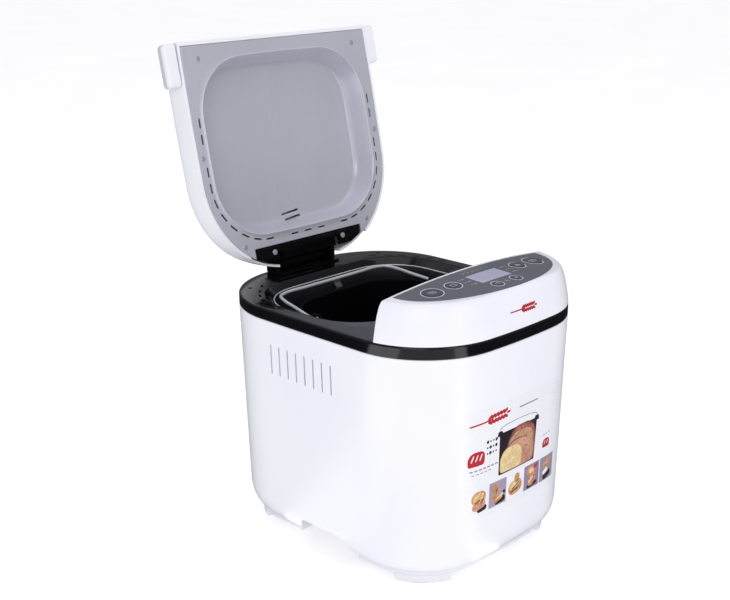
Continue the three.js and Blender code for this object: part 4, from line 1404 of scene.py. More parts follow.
@dataclass
class BaseTray:
    """The moulded base: tray, recess pockets, four corner feet and their rubber pads."""

    inset: float = 18.0
    floor: float = 10.0
    rim: float = 24.0
    wall: float = 2.5
    foot_width: float = 16.0
    foot_bottom: float = 1.5
    foot_from_x: float = 63.0
    foot_from_y: float = 90.0
    pad_radius: float = 6.5
    pocket_depth: float = 26.0

    def tray(self, recess: HousingShell) -> Piece:
        """A shallow rounded tray, joined to a pocket wall behind each lifting recess.

        Args:
            recess: The shell whose recesses it meets.

        Returns:
            The piece.
        """
        floor, top, wall = self.floor, self.floor + 3, self.wall
        section = [(4, floor), (1, floor + 0.3), (0, floor + 1.4), (2, self.rim), (2 + wall, self.rim)]
        section += [(wall, top + 1), (wall + 1.5, top)]
        rings = np.stack([BODY.level(self.inset + i, z) for i, z in section])
        piece = Skin().loft(rings).make("base_tray_moulding", turn_out=False)
        steps = []
        for grow, how in ((2.0, Cut.JOIN), (0.0, Cut.REMOVE)):
            for sign in (-1, 1):
                x = sorted((sign * (120 - self.pocket_depth - grow), sign * (121.0 if grow else 140.0)))
                m, half = recess.recess_middle, recess.recess_floor_half + grow
                z = (self.floor if grow else -5.0, recess.recess_roof + 2 + grow)
                steps.append((how, block_tool([x[0], m - half, z[0]], [x[1], m + half, z[1]])))
        heights = np.linspace(0, FOOT_CURL_TOP, 12)
        lean = wall_inset(np.maximum(heights, BODY_BOTTOM)) + recess.wall + 0.3
        room = np.stack([BODY.level(i, z) for i, z in zip(lean, heights)])
        steps.append((Cut.KEEP, Skin().loft(room).make("base_room")))
        return carve(piece, *steps)

    def feet(self) -> list[Piece]:
        """Four corner feet: a rounded section carried along the corner of the plan outline.

        The section shrinks towards both ends as a quarter circle, so each end is rounded.

        Returns:
            The four feet.
        """
        outline = BODY.outline(self.inset + self.foot_width / 2)
        inner = BODY.outline(self.inset + self.foot_width / 2 + 1)
        out = outline - inner
        out /= np.linalg.norm(out, axis=1, keepdims=True)
        half, low, high = self.foot_width / 2, self.foot_bottom, self.floor + 1
        corners = [(-half, high), (-half + 0.8, low), (half - 0.8, low), (half, high)]
        section = rounded(corners, 2.4, 5)
        middle = section.mean(axis=0)
        pieces = []
        places = ((-1, -1, "front_left"), (1, -1, "front_right"), (-1, 1, "rear_left"), (1, 1, "rear_right"))
        for x_sign, y_sign, name in places:
            inside = (outline[:, 0] * x_sign > self.foot_from_x) & (outline[:, 1] * y_sign > self.foot_from_y)
            place, away = outline[inside], out[inside]
            share = np.linspace(-1, 1, len(place))
            squeeze = np.sqrt(np.clip(1 - np.maximum(0, (np.abs(share) - 0.86) / 0.14) ** 2, 0.02, 1))
            offset = middle[0] + (section[None, :, 0] - middle[0]) * squeeze[:, None]
            z = section[None, :, 1]
            height = np.where(z < middle[1], middle[1] + (z - middle[1]) * squeeze[:, None], z)
            xy = place[:, None] + away[:, None] * offset[..., None]
            rings = np.concatenate([xy, height[..., None]], axis=-1)
            pieces.append(Skin().loft(rings).make("foot_" + name))
        return pieces

    def build(self, recess: HousingShell) -> None:
        """Makes and settles the base, feet and pads.

        Args:
            recess: The shell whose recesses it meets.
        """
        settle(self.tray(recess), Finish.BASE_WHITE, "base_tray")
        for piece in self.feet():
            settle(piece, Finish.BASE_WHITE)
        for x_sign, x_tag in ((-1, "left"), (1, "right")):
            for y, y_tag in ((-111.0, "front"), (107.0, "rear")):
                r = self.pad_radius
                profile = [(0, 0.15), (r - 2.5, 0.1), (r - 1.6, 0.0), (r - 0.5, 0.05), (r, 0.5), (r, 1.3), (0, 1.3)]
                pad = turned(f"pad_{y_tag}_{x_tag}", profile, (x_sign * 89, y, 0))
                settle(pad, Finish.RUBBER, f"rubber_foot_{y_tag}_{x_tag}")


@dataclass
class DeckBezel:
    """The gloss black ring round the oven's mouth, with drain slots and two dimples."""

    slots: tuple[tuple[float, float], ...] = (
        (83.6, 122.6), (97.9, 109.3), (107.4, 97.9), (115.9, 83.6), (121.6, 67.5), (122.2, 49.5),
    )
    dimple: tuple[float, float] = (96.9, 126.4)

    def bezel(self) -> Piece:
        """Rings from the outer wall over a rounded edge to the lip, down the slope and back under.

        Returns:
            The piece.
        """
        chamber = 1.5
        body, lip, edge = BODY.level, DECK_LIP_PLAN.level, CHAMBER_PLAN.level
        quarter = np.linspace(0, math.pi / 2, 6)
        rings = [body(0.35, BODY_TOP + 0.4), body(0.0, BODY_TOP + 0.9), body(0.0, DECK_TOP - 2.2)]
        rings += [body(2.2 * (1 - math.cos(a)), DECK_TOP - 2.2 + 2.2 * math.sin(a)) for a in quarter]
        lip_flat = lip(-2.2, DECK_TOP)
        rings += [rings[-1] * (1 - s) + lip_flat * s for s in (0.25, 0.5, 0.75)]
        rings += [lip_flat, lip(-1.2, DECK_TOP - 0.15), lip(-0.2, DECK_TOP - 0.7)]
        slope_end = edge(-chamber, CHAMBER_TOP - 0.4)
        rings += [rings[-1] * (1 - s) + slope_end * s for s in (0.33, 0.66)]
        rings += [slope_end, edge(-chamber - 0.3, CHAMBER_TOP - 2.8), lip(-2, DECK_TOP - 3)]
        rings += [body(4.5, DECK_TOP - 3), body(2.5, BODY_TOP + 0.4)]
        piece = Skin().loft(np.stack(rings), loop=True).make("deck_ring", turn_out=False)
        cutters = Skin()
        for sign in (-1, 1):
            for (x, y), (x2, y2) in zip(self.slots, (*self.slots[1:], (122.4, 40.0))):
                turn = math.atan2(y2 - y, sign * (x2 - x))
                cutters.prism(stadium(sign * x, y, 4.6, 1.0, turn), 2, DECK_TOP - 8, DECK_TOP + 5)
            cutters.prism(circle(sign * self.dimple[0], self.dimple[1], 2.3, 24), 2, DECK_TOP - 1.2, DECK_TOP + 5)
        return carve(piece, (Cut.REMOVE, cutters.make("deck_slots")))

    def build(self) -> None:
        """Makes and settles the bezel."""
        settle(self.bezel(), Finish.BLACK, "deck_bezel")


CHAMBER_TOP = 246.8
CHAMBER_FLOOR = 70.0


@dataclass
class Oven:
    """The sheet-metal chamber with its rim, element, bushings, supports, sensor, spring and seat ring."""

    wall: float = 1.2
    element_z: float = 90.0
    element_radius: float = 3.2

    def chamber(self) -> Piece:
        """Rings down the outside of the tub and up the inside, with rounded foot and top edge.

        Returns:
            The piece.
        """
        level = CHAMBER_PLAN.level
        turn = np.linspace(0, math.pi / 2, 8)
        floor, t = CHAMBER_FLOOR, self.wall
        outer = [level(14 - t - 14 * math.sin(a), floor + 14 * (1 - math.cos(a))) for a in turn]
        outer += [level(-t, z) for z in (120, 160, 200, 225)]
        top = [(-t, CHAMBER_TOP - 0.6), (-t + 0.3, CHAMBER_TOP), (-0.3, CHAMBER_TOP), (0, CHAMBER_TOP - 0.6)]
        inner = [level(0, z) for z in (225, 200, 160, 120)]
        inner += [level(14 - 14 * math.sin(a), floor + t + 14 * (1 - math.cos(a))) for a in turn[::-1]]
        rings = np.stack([*outer, *[level(i, z) for i, z in top], *inner])
        piece = Skin().loft(rings).make("chamber_tub", turn_out=False)
        tools = [cutter([circle(0, WELL_Y, 9)], 2, floor - 5, floor + 8)]
        tools += [cutter([circle(side * 14, self.element_z, 5.3, 24)], 1, -80, -30) for side in (-1, 1)]
        tools.append(cutter([circle(WELL_Y, 122, 3.4, 24)], 0, -125, -90))
        return carve(piece, *[(Cut.REMOVE, tool) for tool in tools])

    def element(self) -> Piece:
        """The bent heating tube: one flat path round the pan's foot.

        Returns:
            The piece.
        """
        outside, z, bend, half_width, front, rear = WELL_Y - 100.3, self.element_z, 26, 92, -34, 101
        half = [
            (14, outside, z), (14, outside + 10, z), (14, outside + 18, z), (14, outside + 24, z),
            (20, front - 1, z), (31, front, z), (half_width - bend, front, z),
            (half_width - bend * 0.28, front + bend * 0.28, z), (half_width, front + bend, z),
            (half_width, (front + rear) / 2, z), (half_width, rear - bend, z),
            (half_width - bend * 0.28, rear - bend * 0.28, z), (half_width - bend, rear, z),
        ]
        other = [(-x, y, h) for x, y, h in half[::-1]]
        path = smooth_path([*half, (0, rear, z), *other], 260)
        return tube(path, self.element_radius, (0, 0, 1)).make("element_tube")

    def spring(self) -> Piece:
        """The leaf spring on the back wall, a bent strip with rounded bends.

        Returns:
            The piece.
        """
        y = WELL_Y + 80.0
        corners = [
            (y, 243), (y - 1.2, 243), (y - 1.2, 239), (y - 5.4, 235), (y - 5.4, 233),
            (y - 1.2, 229), (y, 229), (y, 230.2), (y - 4.2, 234), (y, 238.4),
        ]
        skin = Skin().prism(rounded(corners, 0.5, 3), 0, 12, 21)
        return skin.make("pan_spring")

    def build(self, frame: dict[str, Any]) -> None:
        """Makes and settles the oven's pieces.
        """
        settle(self.chamber(), Finish.CHAMBER, "oven_chamber")
        turn = np.linspace(0.0, 2 * math.pi, 13)[:-1]
        bead = [(-0.55 + 0.75 * math.cos(a), CHAMBER_TOP + 0.2 + 0.7 * math.sin(a)) for a in turn]
        rings = np.stack([CHAMBER_PLAN.level(inset, z) for inset, z in bead])
        rim = Skin().loft(rings, loop=True).make("chamber_rim")
        settle(rim, Finish.STEEL)
        settle(self.element(), Finish.ELEMENT, "heating_element")
        settle(self.spring(), Finish.ELEMENT, "pan_retaining_spring")
        seat = [(39, 71.6), (44, 71.6), (44, 82), (39, 82)]
        settle(turned("seat_ring", seat, MIDDLE, 1.2, 4, sides=96), Finish.CHAMBER, "pan_seat_ring")
        for side, tag in ((-1, "left"), (1, "right")):
            bush = [(3.6, -2.2), (7.5, -2.2), (7.5, -0.4), (4.9, -0.4), (4.9, 4), (3.6, 4)]
            centre = (side * 14, WELL_Y - 81.5, self.element_z)
            piece = turned(f"bushing_{tag}", bush, centre, 0.5, axis=1, sides=32)
            settle(piece, Finish.CERAMIC, f"element_bushing_{tag}")
            post = refined(frame, f"element_support_{tag}", f"element_post_{tag}", 0.6)
            settle(post, Finish.STEEL, f"element_support_{tag}")
        probe = [(0, -110.6), (5, -110.6), (5.5, -110.1), (5.5, -106.3), (3, -106.3), (3, -93.2)]
        probe += [(2.6, -92.1), (1.5, -91.4), (0, -91.2)]
        piece = turned("sensor_probe", probe, (0, WELL_Y, 122), axis=0, sides=32)
        settle(piece, Finish.STEEL, "temperature_sensor")


@dataclass
class Drive:
    """Motor, pulleys, shafts, bridges and couplings under the oven."""

    motor_y: float = -105.0

    def pulley(self, name: str, radius: float, bore: float, y: float) -> Piece:
        """A flanged pulley with a rounded web groove.

        Args:
            name: The piece's name.
            radius: Its radius.
            bore: Radius of its hole.
            y: Where its axis stands.

        Returns:
            The piece.
        """
        low, high, flange, lip = 34, 46, 2.5, 4
        corners = [
            (bore, low), (radius + lip, low), (radius + lip, low + flange - 0.6), (radius, low + flange),
            (radius, high - flange), (radius + lip, high - flange + 0.6), (radius + lip, high), (bore, high),
        ]
        return turned(name, corners, (0, y, 0), 0.6, sides=80)

    def build(self, frame: dict[str, Any]) -> None:
        """Makes and settles the drive's pieces.
        """
        my = self.motor_y
        settle(self.pulley("belt_wheel", 35, 4.3, WELL_Y), Finish.HINGE_BLACK, "drive_pulley", body="drive_train")
        settle(self.pulley("motor_wheel", 7, 3.3, my), Finish.HINGE_BLACK, "motor_pulley", body="motor_rotor")
        shafts = (
            ("drive_axle", 4.0, 29, 77, WELL_Y, "drive_train", "drive_shaft"),
            ("motor_axle", 3.0, 31, 136, my, "motor_rotor", "motor_shaft"),
        )
        for name, radius, low, high, y, body, node in shafts:
            profile = [(0, low), (radius - 0.6, low), (radius, low + 0.6)]
            profile += [(radius, high - 0.8), (radius - 0.8, high), (0, high)]
            settle(turned(name, profile, (0, y, 0), sides=32), Finish.STEEL, node, body=body)
        bearing = [(4.3, 47.5), (12, 47.5), (12, 53.7), (8.5, 53.7), (8.5, 69), (4.3, 69)]
        settle(turned("bearing_bush", bearing, MIDDLE, 0.5), Finish.STEEL, "drive_bearing")
        clip = [(4.3, 31.5), (6.8, 31.5), (6.8, 32.7), (4.3, 32.7)]
        settle(turned("shaft_clip", clip, MIDDLE, 0.25, 2), Finish.STEEL, "drive_circlip", body="drive_train")
        can = [(3.3, 57.3), (25, 57.3), (25, 63.3), (31, 65.3), (31, 118)]
        can += [(25, 120), (25, 124), (10, 124), (10, 130), (3.3, 130)]
        settle(turned("motor_can", can, (0, my, 0), 1.0, 4, sides=72), Finish.STEEL, "drive_motor")
        cap = [(0, 18), (14, 18), (15, 19), (15, 66.6), (14.4, 67.6), (12.6, 67.8), (12.2, 67.1), (0, 67)]
        settle(turned("run_capacitor", cap, (82, -92, 0)), Finish.HINGE_BLACK, "motor_capacitor")
        for node, name, finish, body, width in (
            ("drive_bridge", "pulley_bridge", Finish.STEEL, "body", 0.7),
            ("motor_bridge", "motor_frame", Finish.STEEL, "body", 0.7),
            ("drive_coupling", "drive_dogs", Finish.STEEL, "drive_train", 0.35),
            ("drive_belt", "belt_loop", Finish.RUBBER, "body", 0.3),
            ("power_board", "power_circuit", Finish.BOARD, "body", 0.15),
            ("power_transformer", "transformer_block", Finish.HINGE_BLACK, "body", 0.8),
            ("control_board", "control_circuit", Finish.BOARD, "body", 0.15),
            ("display_module", "display_housing", Finish.HINGE_BLACK, "body", 0.5),
        ):
            settle(refined(frame, node, name, width), finish, node, body=body)


# ---------- control housing


class Icon(Enum):
    """The sign printed on a key."""

    BARS = "bars"
    UP = "up"
    DOWN = "down"
    LOAF = "loaf"


@dataclass(frozen=True)
class Key:
    """One key: its CAD node, body, middle and radius, and the icon printed on it."""

    node: str
    body: str
    x: float
    y: float
    radius: float
    icon: Icon

    @property
    def tag(self) -> str:
        """The key's short name."""
        return self.node.removeprefix("button_")

    @property
    def top(self) -> float:
        """Height of its rim."""
        return float(crown_z(np.array(self.x), np.array(self.y))) + 0.5

    def dish(self, u: Array, v: Array, proud: float) -> Array:
        """A point of the key's dished top: u across, v towards the back, proud of it by some millimetres."""
        sunk = 0.35 * (1 - (np.hypot(u - self.x, v - self.y) / self.radius) ** 2)
        return np.stack([u, v, self.top - sunk + proud], axis=-1)


ICON_HEIGHTS = (0.06, -0.03)  # top and underside of a key's sign, from the key's face
KEYS = (
    Key("button_start", "start_key", 76, -112, 9.6, Icon.BARS),
    Key("button_menu", "menu_key", -76, -112, 9.6, Icon.BARS),
    Key("button_time_up", "time_up_key", 48.5, -114, 7.4, Icon.UP),
    Key("button_crust", "crust_key", -48.5, -114, 7.4, Icon.LOAF),
    Key("button_time_down", "time_down_key", 14, -139.5, 5.2, Icon.DOWN),
    Key("button_weight", "weight_key", -14, -139.5, 5.2, Icon.LOAF),
)


@dataclass
class ControlHousing:
    """The front cap with its panel, display, keys and printed marks."""

    wall: float = 2.4
    panel_half_width: float = 108.0
    panel_rear: float = -90.6
    panel_depth: float = 64.9
    display_y: float = -117.0
    display_half: tuple[float, float] = (22.8, 11.9)
    dome: Dome = Dome(BODY, DECK_TOP + 0.3, 12.5, 0.56)

    def panel_outline(self, grow: float) -> Array:
        """Half an ellipse with softened ends: cosine across, sine forwards.

        Args:
            grow: How far it moves out.

        Returns:
            Its points.
        """
        angle = np.linspace(math.pi, 2 * math.pi, 97)
        x = (self.panel_half_width + grow) * np.cos(angle)
        y = self.panel_rear + grow + (self.panel_depth + 2 * grow) * np.sin(angle)
        return np.stack([x, y], axis=1)

    def housing(self) -> Piece:
        """The dome in front of the lid's edge, hollowed, with an opening for the panel.

        Returns:
            The piece.
        """
        piece = self.dome.solid("housing_cap", Place.BENCH)
        keep = block_tool([-FAR, -FAR, FAR], [FAR, HOUSING_REAR, 360])
        inner = self.dome.solid("housing_hollow", Place.BENCH, self.wall, self.wall, self.dome.foot - 5)
        carve(inner, (Cut.KEEP, block_tool([-FAR, -FAR, FAR], [FAR, HOUSING_REAR - self.wall, 360])))
        opening = cutter([self.panel_outline(0)], 2, DECK_TOP + 20, 340)
        carve(piece, (Cut.KEEP, keep), (Cut.REMOVE, inner), (Cut.REMOVE, opening))
        round_edges(piece, 0.7, 3, 50.0)
        return piece

    def panel(self) -> Piece:
        """The dome's skin inside the panel's outline, with a window and key holes.

        Returns:
            The piece.
        """
        piece = self.dome.solid("control_fascia", Place.BENCH, 1.0, 0.2)
        under = self.dome.solid("fascia_under", Place.BENCH, -3.0, 2.4, 240.0)
        inside = cutter([self.panel_outline(-0.45)], 2, DECK_TOP + 20, 340)
        half_x, half_y = self.display_half
        corners = block_outline((-half_x, self.display_y - half_y), (half_x, self.display_y + half_y))
        window = cutter([rounded(corners.tolist(), 1.6, 4)], 2, 270, 330)
        holes = cutter([circle(key.x, key.y, key.radius + 0.3) for key in KEYS], 2, 260, 340)
        carve(piece, (Cut.REMOVE, under), (Cut.KEEP, inside), (Cut.REMOVE, window), (Cut.REMOVE, holes))
        round_edges(piece, 0.3, 2, 50.0)
        return piece

    def key_cap(self, key: Key) -> Piece:
        """A key with a softly dished top and a rounded rim.

        Args:
            key: The key.

        Returns:
            The piece.
        """
        top, r = key.top, key.radius
        across = np.linspace(r - 0.9, 0, 10)
        rim = [(r, top - 6), (r, top - 0.7), (r - 0.2, top - 0.25), (r - 0.5, top - 0.05)]
        dish = [(x, top - 0.35 * (1 - (x / r) ** 2)) for x in across]
        skin = lathe([(0, top - 6), *rim, *dish], (key.x, key.y, 0), sides=64)
        return skin.make("key_" + key.tag)

    def icon(self, key: Key) -> Piece:
        """The pale mark on a key: three bars, an arrowhead or a small loaf.

        Args:
            key: The key.

        Returns:
            The piece.
        """
        r = key.radius
        skin = Skin()
        if key.icon is Icon.BARS:
            for shift, half in ((0.26, 0.5), (0.0, 0.56), (-0.26, 0.42)):
                patch(skin, stadium(key.x, key.y + shift * r, half * r, 0.055 * r), key.dish, *ICON_HEIGHTS)
        elif key.icon in (Icon.UP, Icon.DOWN):
            sign = 1 if key.icon is Icon.UP else -1
            corners = np.array([(-0.5, -0.3), (0.5, -0.3), (0.0, 0.5)]) * r * [1, sign] + [key.x, key.y]
            order = corners if sign > 0 else corners[::-1]
            patch(skin, rounded(order.tolist(), 0.14 * r), key.dish, *ICON_HEIGHTS)
        else:
            corners = np.array([(-0.5, -0.4), (0.5, -0.4), (0.5, 0.2), (0.25, 0.45), (-0.25, 0.45), (-0.5, 0.2)])
            outer = rounded((corners * r + [key.x, key.y]).tolist(), 0.2 * r)
            inner = rounded((corners * r * 0.72 + [key.x, key.y]).tolist(), 0.2 * r)
            band(skin, outer, inner, key.dish, *ICON_HEIGHTS)
        return skin.make("icon_" + key.tag)

    def prints(self) -> list[Piece]:
        """Rings round the keys, ticks beside the display and small marks between the keys.

        Returns:
            The rings, then the marks as one piece.
        """
        pieces = []
        for key in KEYS:
            outer, inner = (circle(key.x, key.y, key.radius + grow, 72) for grow in (1.9, 0.9))
            pieces.append(band(Skin(), outer, inner, crown_surface, -0.1, -0.25).make("ring_" + key.tag))
        y = self.display_y
        marks = []
        for sign in (-1, 1):
            for step in (-8.0, 0.0, 8.0):
                marks += [stadium(sign * 29.5, y + step, 2.6, 0.55), circle(sign * 34.5, y + step, 0.8, 20)]
        for step in range(6):
            marks += [stadium(-17 + step * 6.8, y + 17.5, 1.7, 0.5), circle(-17 + step * 6.8, y + 20.4, 0.6, 20)]
        marks += [stadium(0, -139.5, 2.6, 0.5), stadium(0, -137.2, 1.6, 0.4), circle(0, -142.4, 0.9, 24)]
        return [*pieces, patches(marks, crown_surface, -0.12, -0.3).make("panel_marks")]

    def display(self) -> tuple[Piece, Piece]:
        """The pale display behind its lens, and the faint segments of four resting digits.

        Returns:
            The display and its segments.
        """
        half_x, half_y = self.display_half
        corners = block_outline((-half_x + 0.3, -half_y + 0.3), (half_x - 0.3, half_y - 0.3))
        outline = rounded((corners + [0, self.display_y]).tolist(), 1.3, 5)
        lens = patch(Skin(), outline, crown_surface, -0.5, -2.0).make("display_lens")
        bars = [(0, dv, 2.2, 0) for dv in (4.6, 0, -4.6)]
        bars += [(du, dv, 1.9, math.pi / 2) for dv in (2.3, -2.3) for du in (-2.8, 2.8)]
        shapes = [
            stadium(middle + du, self.display_y + dv, half, 0.38, turn)
            for middle in (-12.6, -4.6, 4.6, 12.6)
            for du, dv, half, turn in bars
        ]
        shapes += [circle(0, self.display_y + dv, 0.5, 20) for dv in (-2.0, 2.0)]
        return lens, patches(shapes, crown_surface, -0.47, -0.55).make("display_segments")

    def front(self, u: Array, v: Array, proud: float) -> Array:
        """A point of the cap's front: u across, v up, proud of it by some millimetres.

        Args:
            u: Where across.
            v: Height.
            proud: Height over the surface.

        Returns:
            Points.
        """
        dome = self.dome
        high = crown_z(u, np.full_like(u, -155.0))
        rise = np.clip((v - dome.foot) / (high - dome.foot), 0, 0.999)
        ease = dome.ease + (1 - dome.ease) * (np.abs(u) / DOME_EASE_HALF) ** 2
        lean = dome.lean * DOME_LEAN * (1 - (1 - rise) ** (1 / DOME_CURVE)) * ease
        return np.stack([u, BODY.front_y(u, lean) - proud, v], axis=-1)

    def wheat_mark(self) -> Piece:
        """A plain ear of wheat lying on the front of the cap: a stem and two rows of grains."""
        return patches(wheat_ear(0, 272.5, 40), self.front, 0.1, -0.2).make("wheat_mark")

    def build(self) -> None:
        """Makes and settles the control housing's pieces."""
        settle(self.housing(), Finish.WHITE, "control_housing")
        settle(self.panel(), Finish.PANEL, "control_panel")
        for key in KEYS:
            settle(self.key_cap(key), Finish.KEY, key.node, body=key.body)
            settle(self.icon(key), Finish.KEY_INK, body=key.body)
        *rings, marks = self.prints()
        for piece in rings:
            settle(piece, Finish.KEY_RING)
        settle(marks, Finish.KEY_INK)
        lens, segments = self.display()
        settle(lens, Finish.LENS, "display_window")
        settle(segments, Finish.SEGMENT)
        settle(self.wheat_mark(), Finish.INK_RED)


# ---------- label


@dataclass(frozen=True)
class Morsel:
    """One piece of food in a tile's picture, placed from the tile's middle."""

    finish: Finish
    u: float
    v: float
    half_long: float
    half_wide: float
    turn_deg: float = 0.0

    def outline(self, u: float, v: float) -> Array:
        """Its outline in a tile whose middle is at u and v."""
        return stadium(u + self.u, v + self.v, self.half_long, self.half_wide, math.radians(self.turn_deg))


BASKET = (
    Morsel(Finish.INK_DARK, 4.5, -9.3, 6.8, 3.0, 8),
    Morsel(Finish.BERRY_TART, 0.5, -5.0, 8.8, 4.2, 12),
    Morsel(Finish.CRUST_GOLD, 0.0, 3.2, 9.6, 7.4, 0),
    Morsel(Finish.CRUMB_PALE, -4.6, 4.4, 3.6, 1.5, 62),
    Morsel(Finish.CRUMB_PALE, -0.6, 6.2, 3.8, 1.5, 48),
    Morsel(Finish.CRUMB_PALE, 4.2, 4.6, 3.6, 1.5, 70),
    Morsel(Finish.CRUST_DARK, -1.8, -0.4, 3.4, 1.0, 30),
    Morsel(Finish.CRUST_DARK, 4.4, -1.0, 3.2, 1.0, 52),
)
LOAF = (
    Morsel(Finish.INK_DARK, 3.6, -8.6, 8.0, 3.4, 6),
    Morsel(Finish.INK_DARK, 9.0, -1.6, 2.6, 2.0, 40),
    Morsel(Finish.CRUST_GOLD, -3.8, 2.4, 9.6, 5.2, 86),
    Morsel(Finish.CRUMB_SEEDED, -3.9, 3.2, 7.0, 3.0, 86),
    Morsel(Finish.CRUMB_PALE, 2.6, -5.2, 6.6, 1.4, 28),
    Morsel(Finish.CRUST_GOLD, 1.4, -7.6, 6.2, 1.5, 20),
)
PASTRY = (
    Morsel(Finish.CRUST_GOLD, 2.2, 7.4, 4.6, 4.0, 80),
    Morsel(Finish.CRUST_GOLD, 0.0, -2.6, 10.8, 7.6, 8),
    Morsel(Finish.CRUMB_PALE, -4.0, -0.4, 5.2, 2.6, 34),
    Morsel(Finish.CRUMB_PALE, 3.8, 0.2, 5.0, 1.8, 24),
    Morsel(Finish.CRUST_DARK, 1.0, -1.2, 6.6, 0.8, 26),
    Morsel(Finish.CRUST_DARK, -1.4, -6.0, 5.6, 0.9, 12),
)
FRUIT = (
    Morsel(Finish.CRUST_GOLD, -0.8, 6.0, 7.4, 5.4, 10),
    Morsel(Finish.INK_RED, 6.4, 9.4, 3.6, 1.6, 24),
    Morsel(Finish.CRUMB_PALE, -0.6, 6.2, 4.0, 2.6, 20),
    Morsel(Finish.INK_DARK, 1.0, -9.8, 8.4, 1.9, 8),
    Morsel(Finish.BERRY_TART, 0.6, -4.0, 7.6, 5.2, 34),
    Morsel(Finish.CRUMB_PALE, -1.0, -3.4, 4.6, 1.8, 40),
)
BREAKFAST = (
    Morsel(Finish.BERRY_TART, 0.4, 5.0, 7.6, 4.6, 30),
    Morsel(Finish.CRUMB_SEEDED, -1.2, 2.2, 5.2, 2.6, 16),
    Morsel(Finish.INK_DARK, 0.8, -8.2, 7.6, 3.4, 18),
    Morsel(Finish.STICKER, -2.2, -3.6, 5.0, 2.4, 22),
)


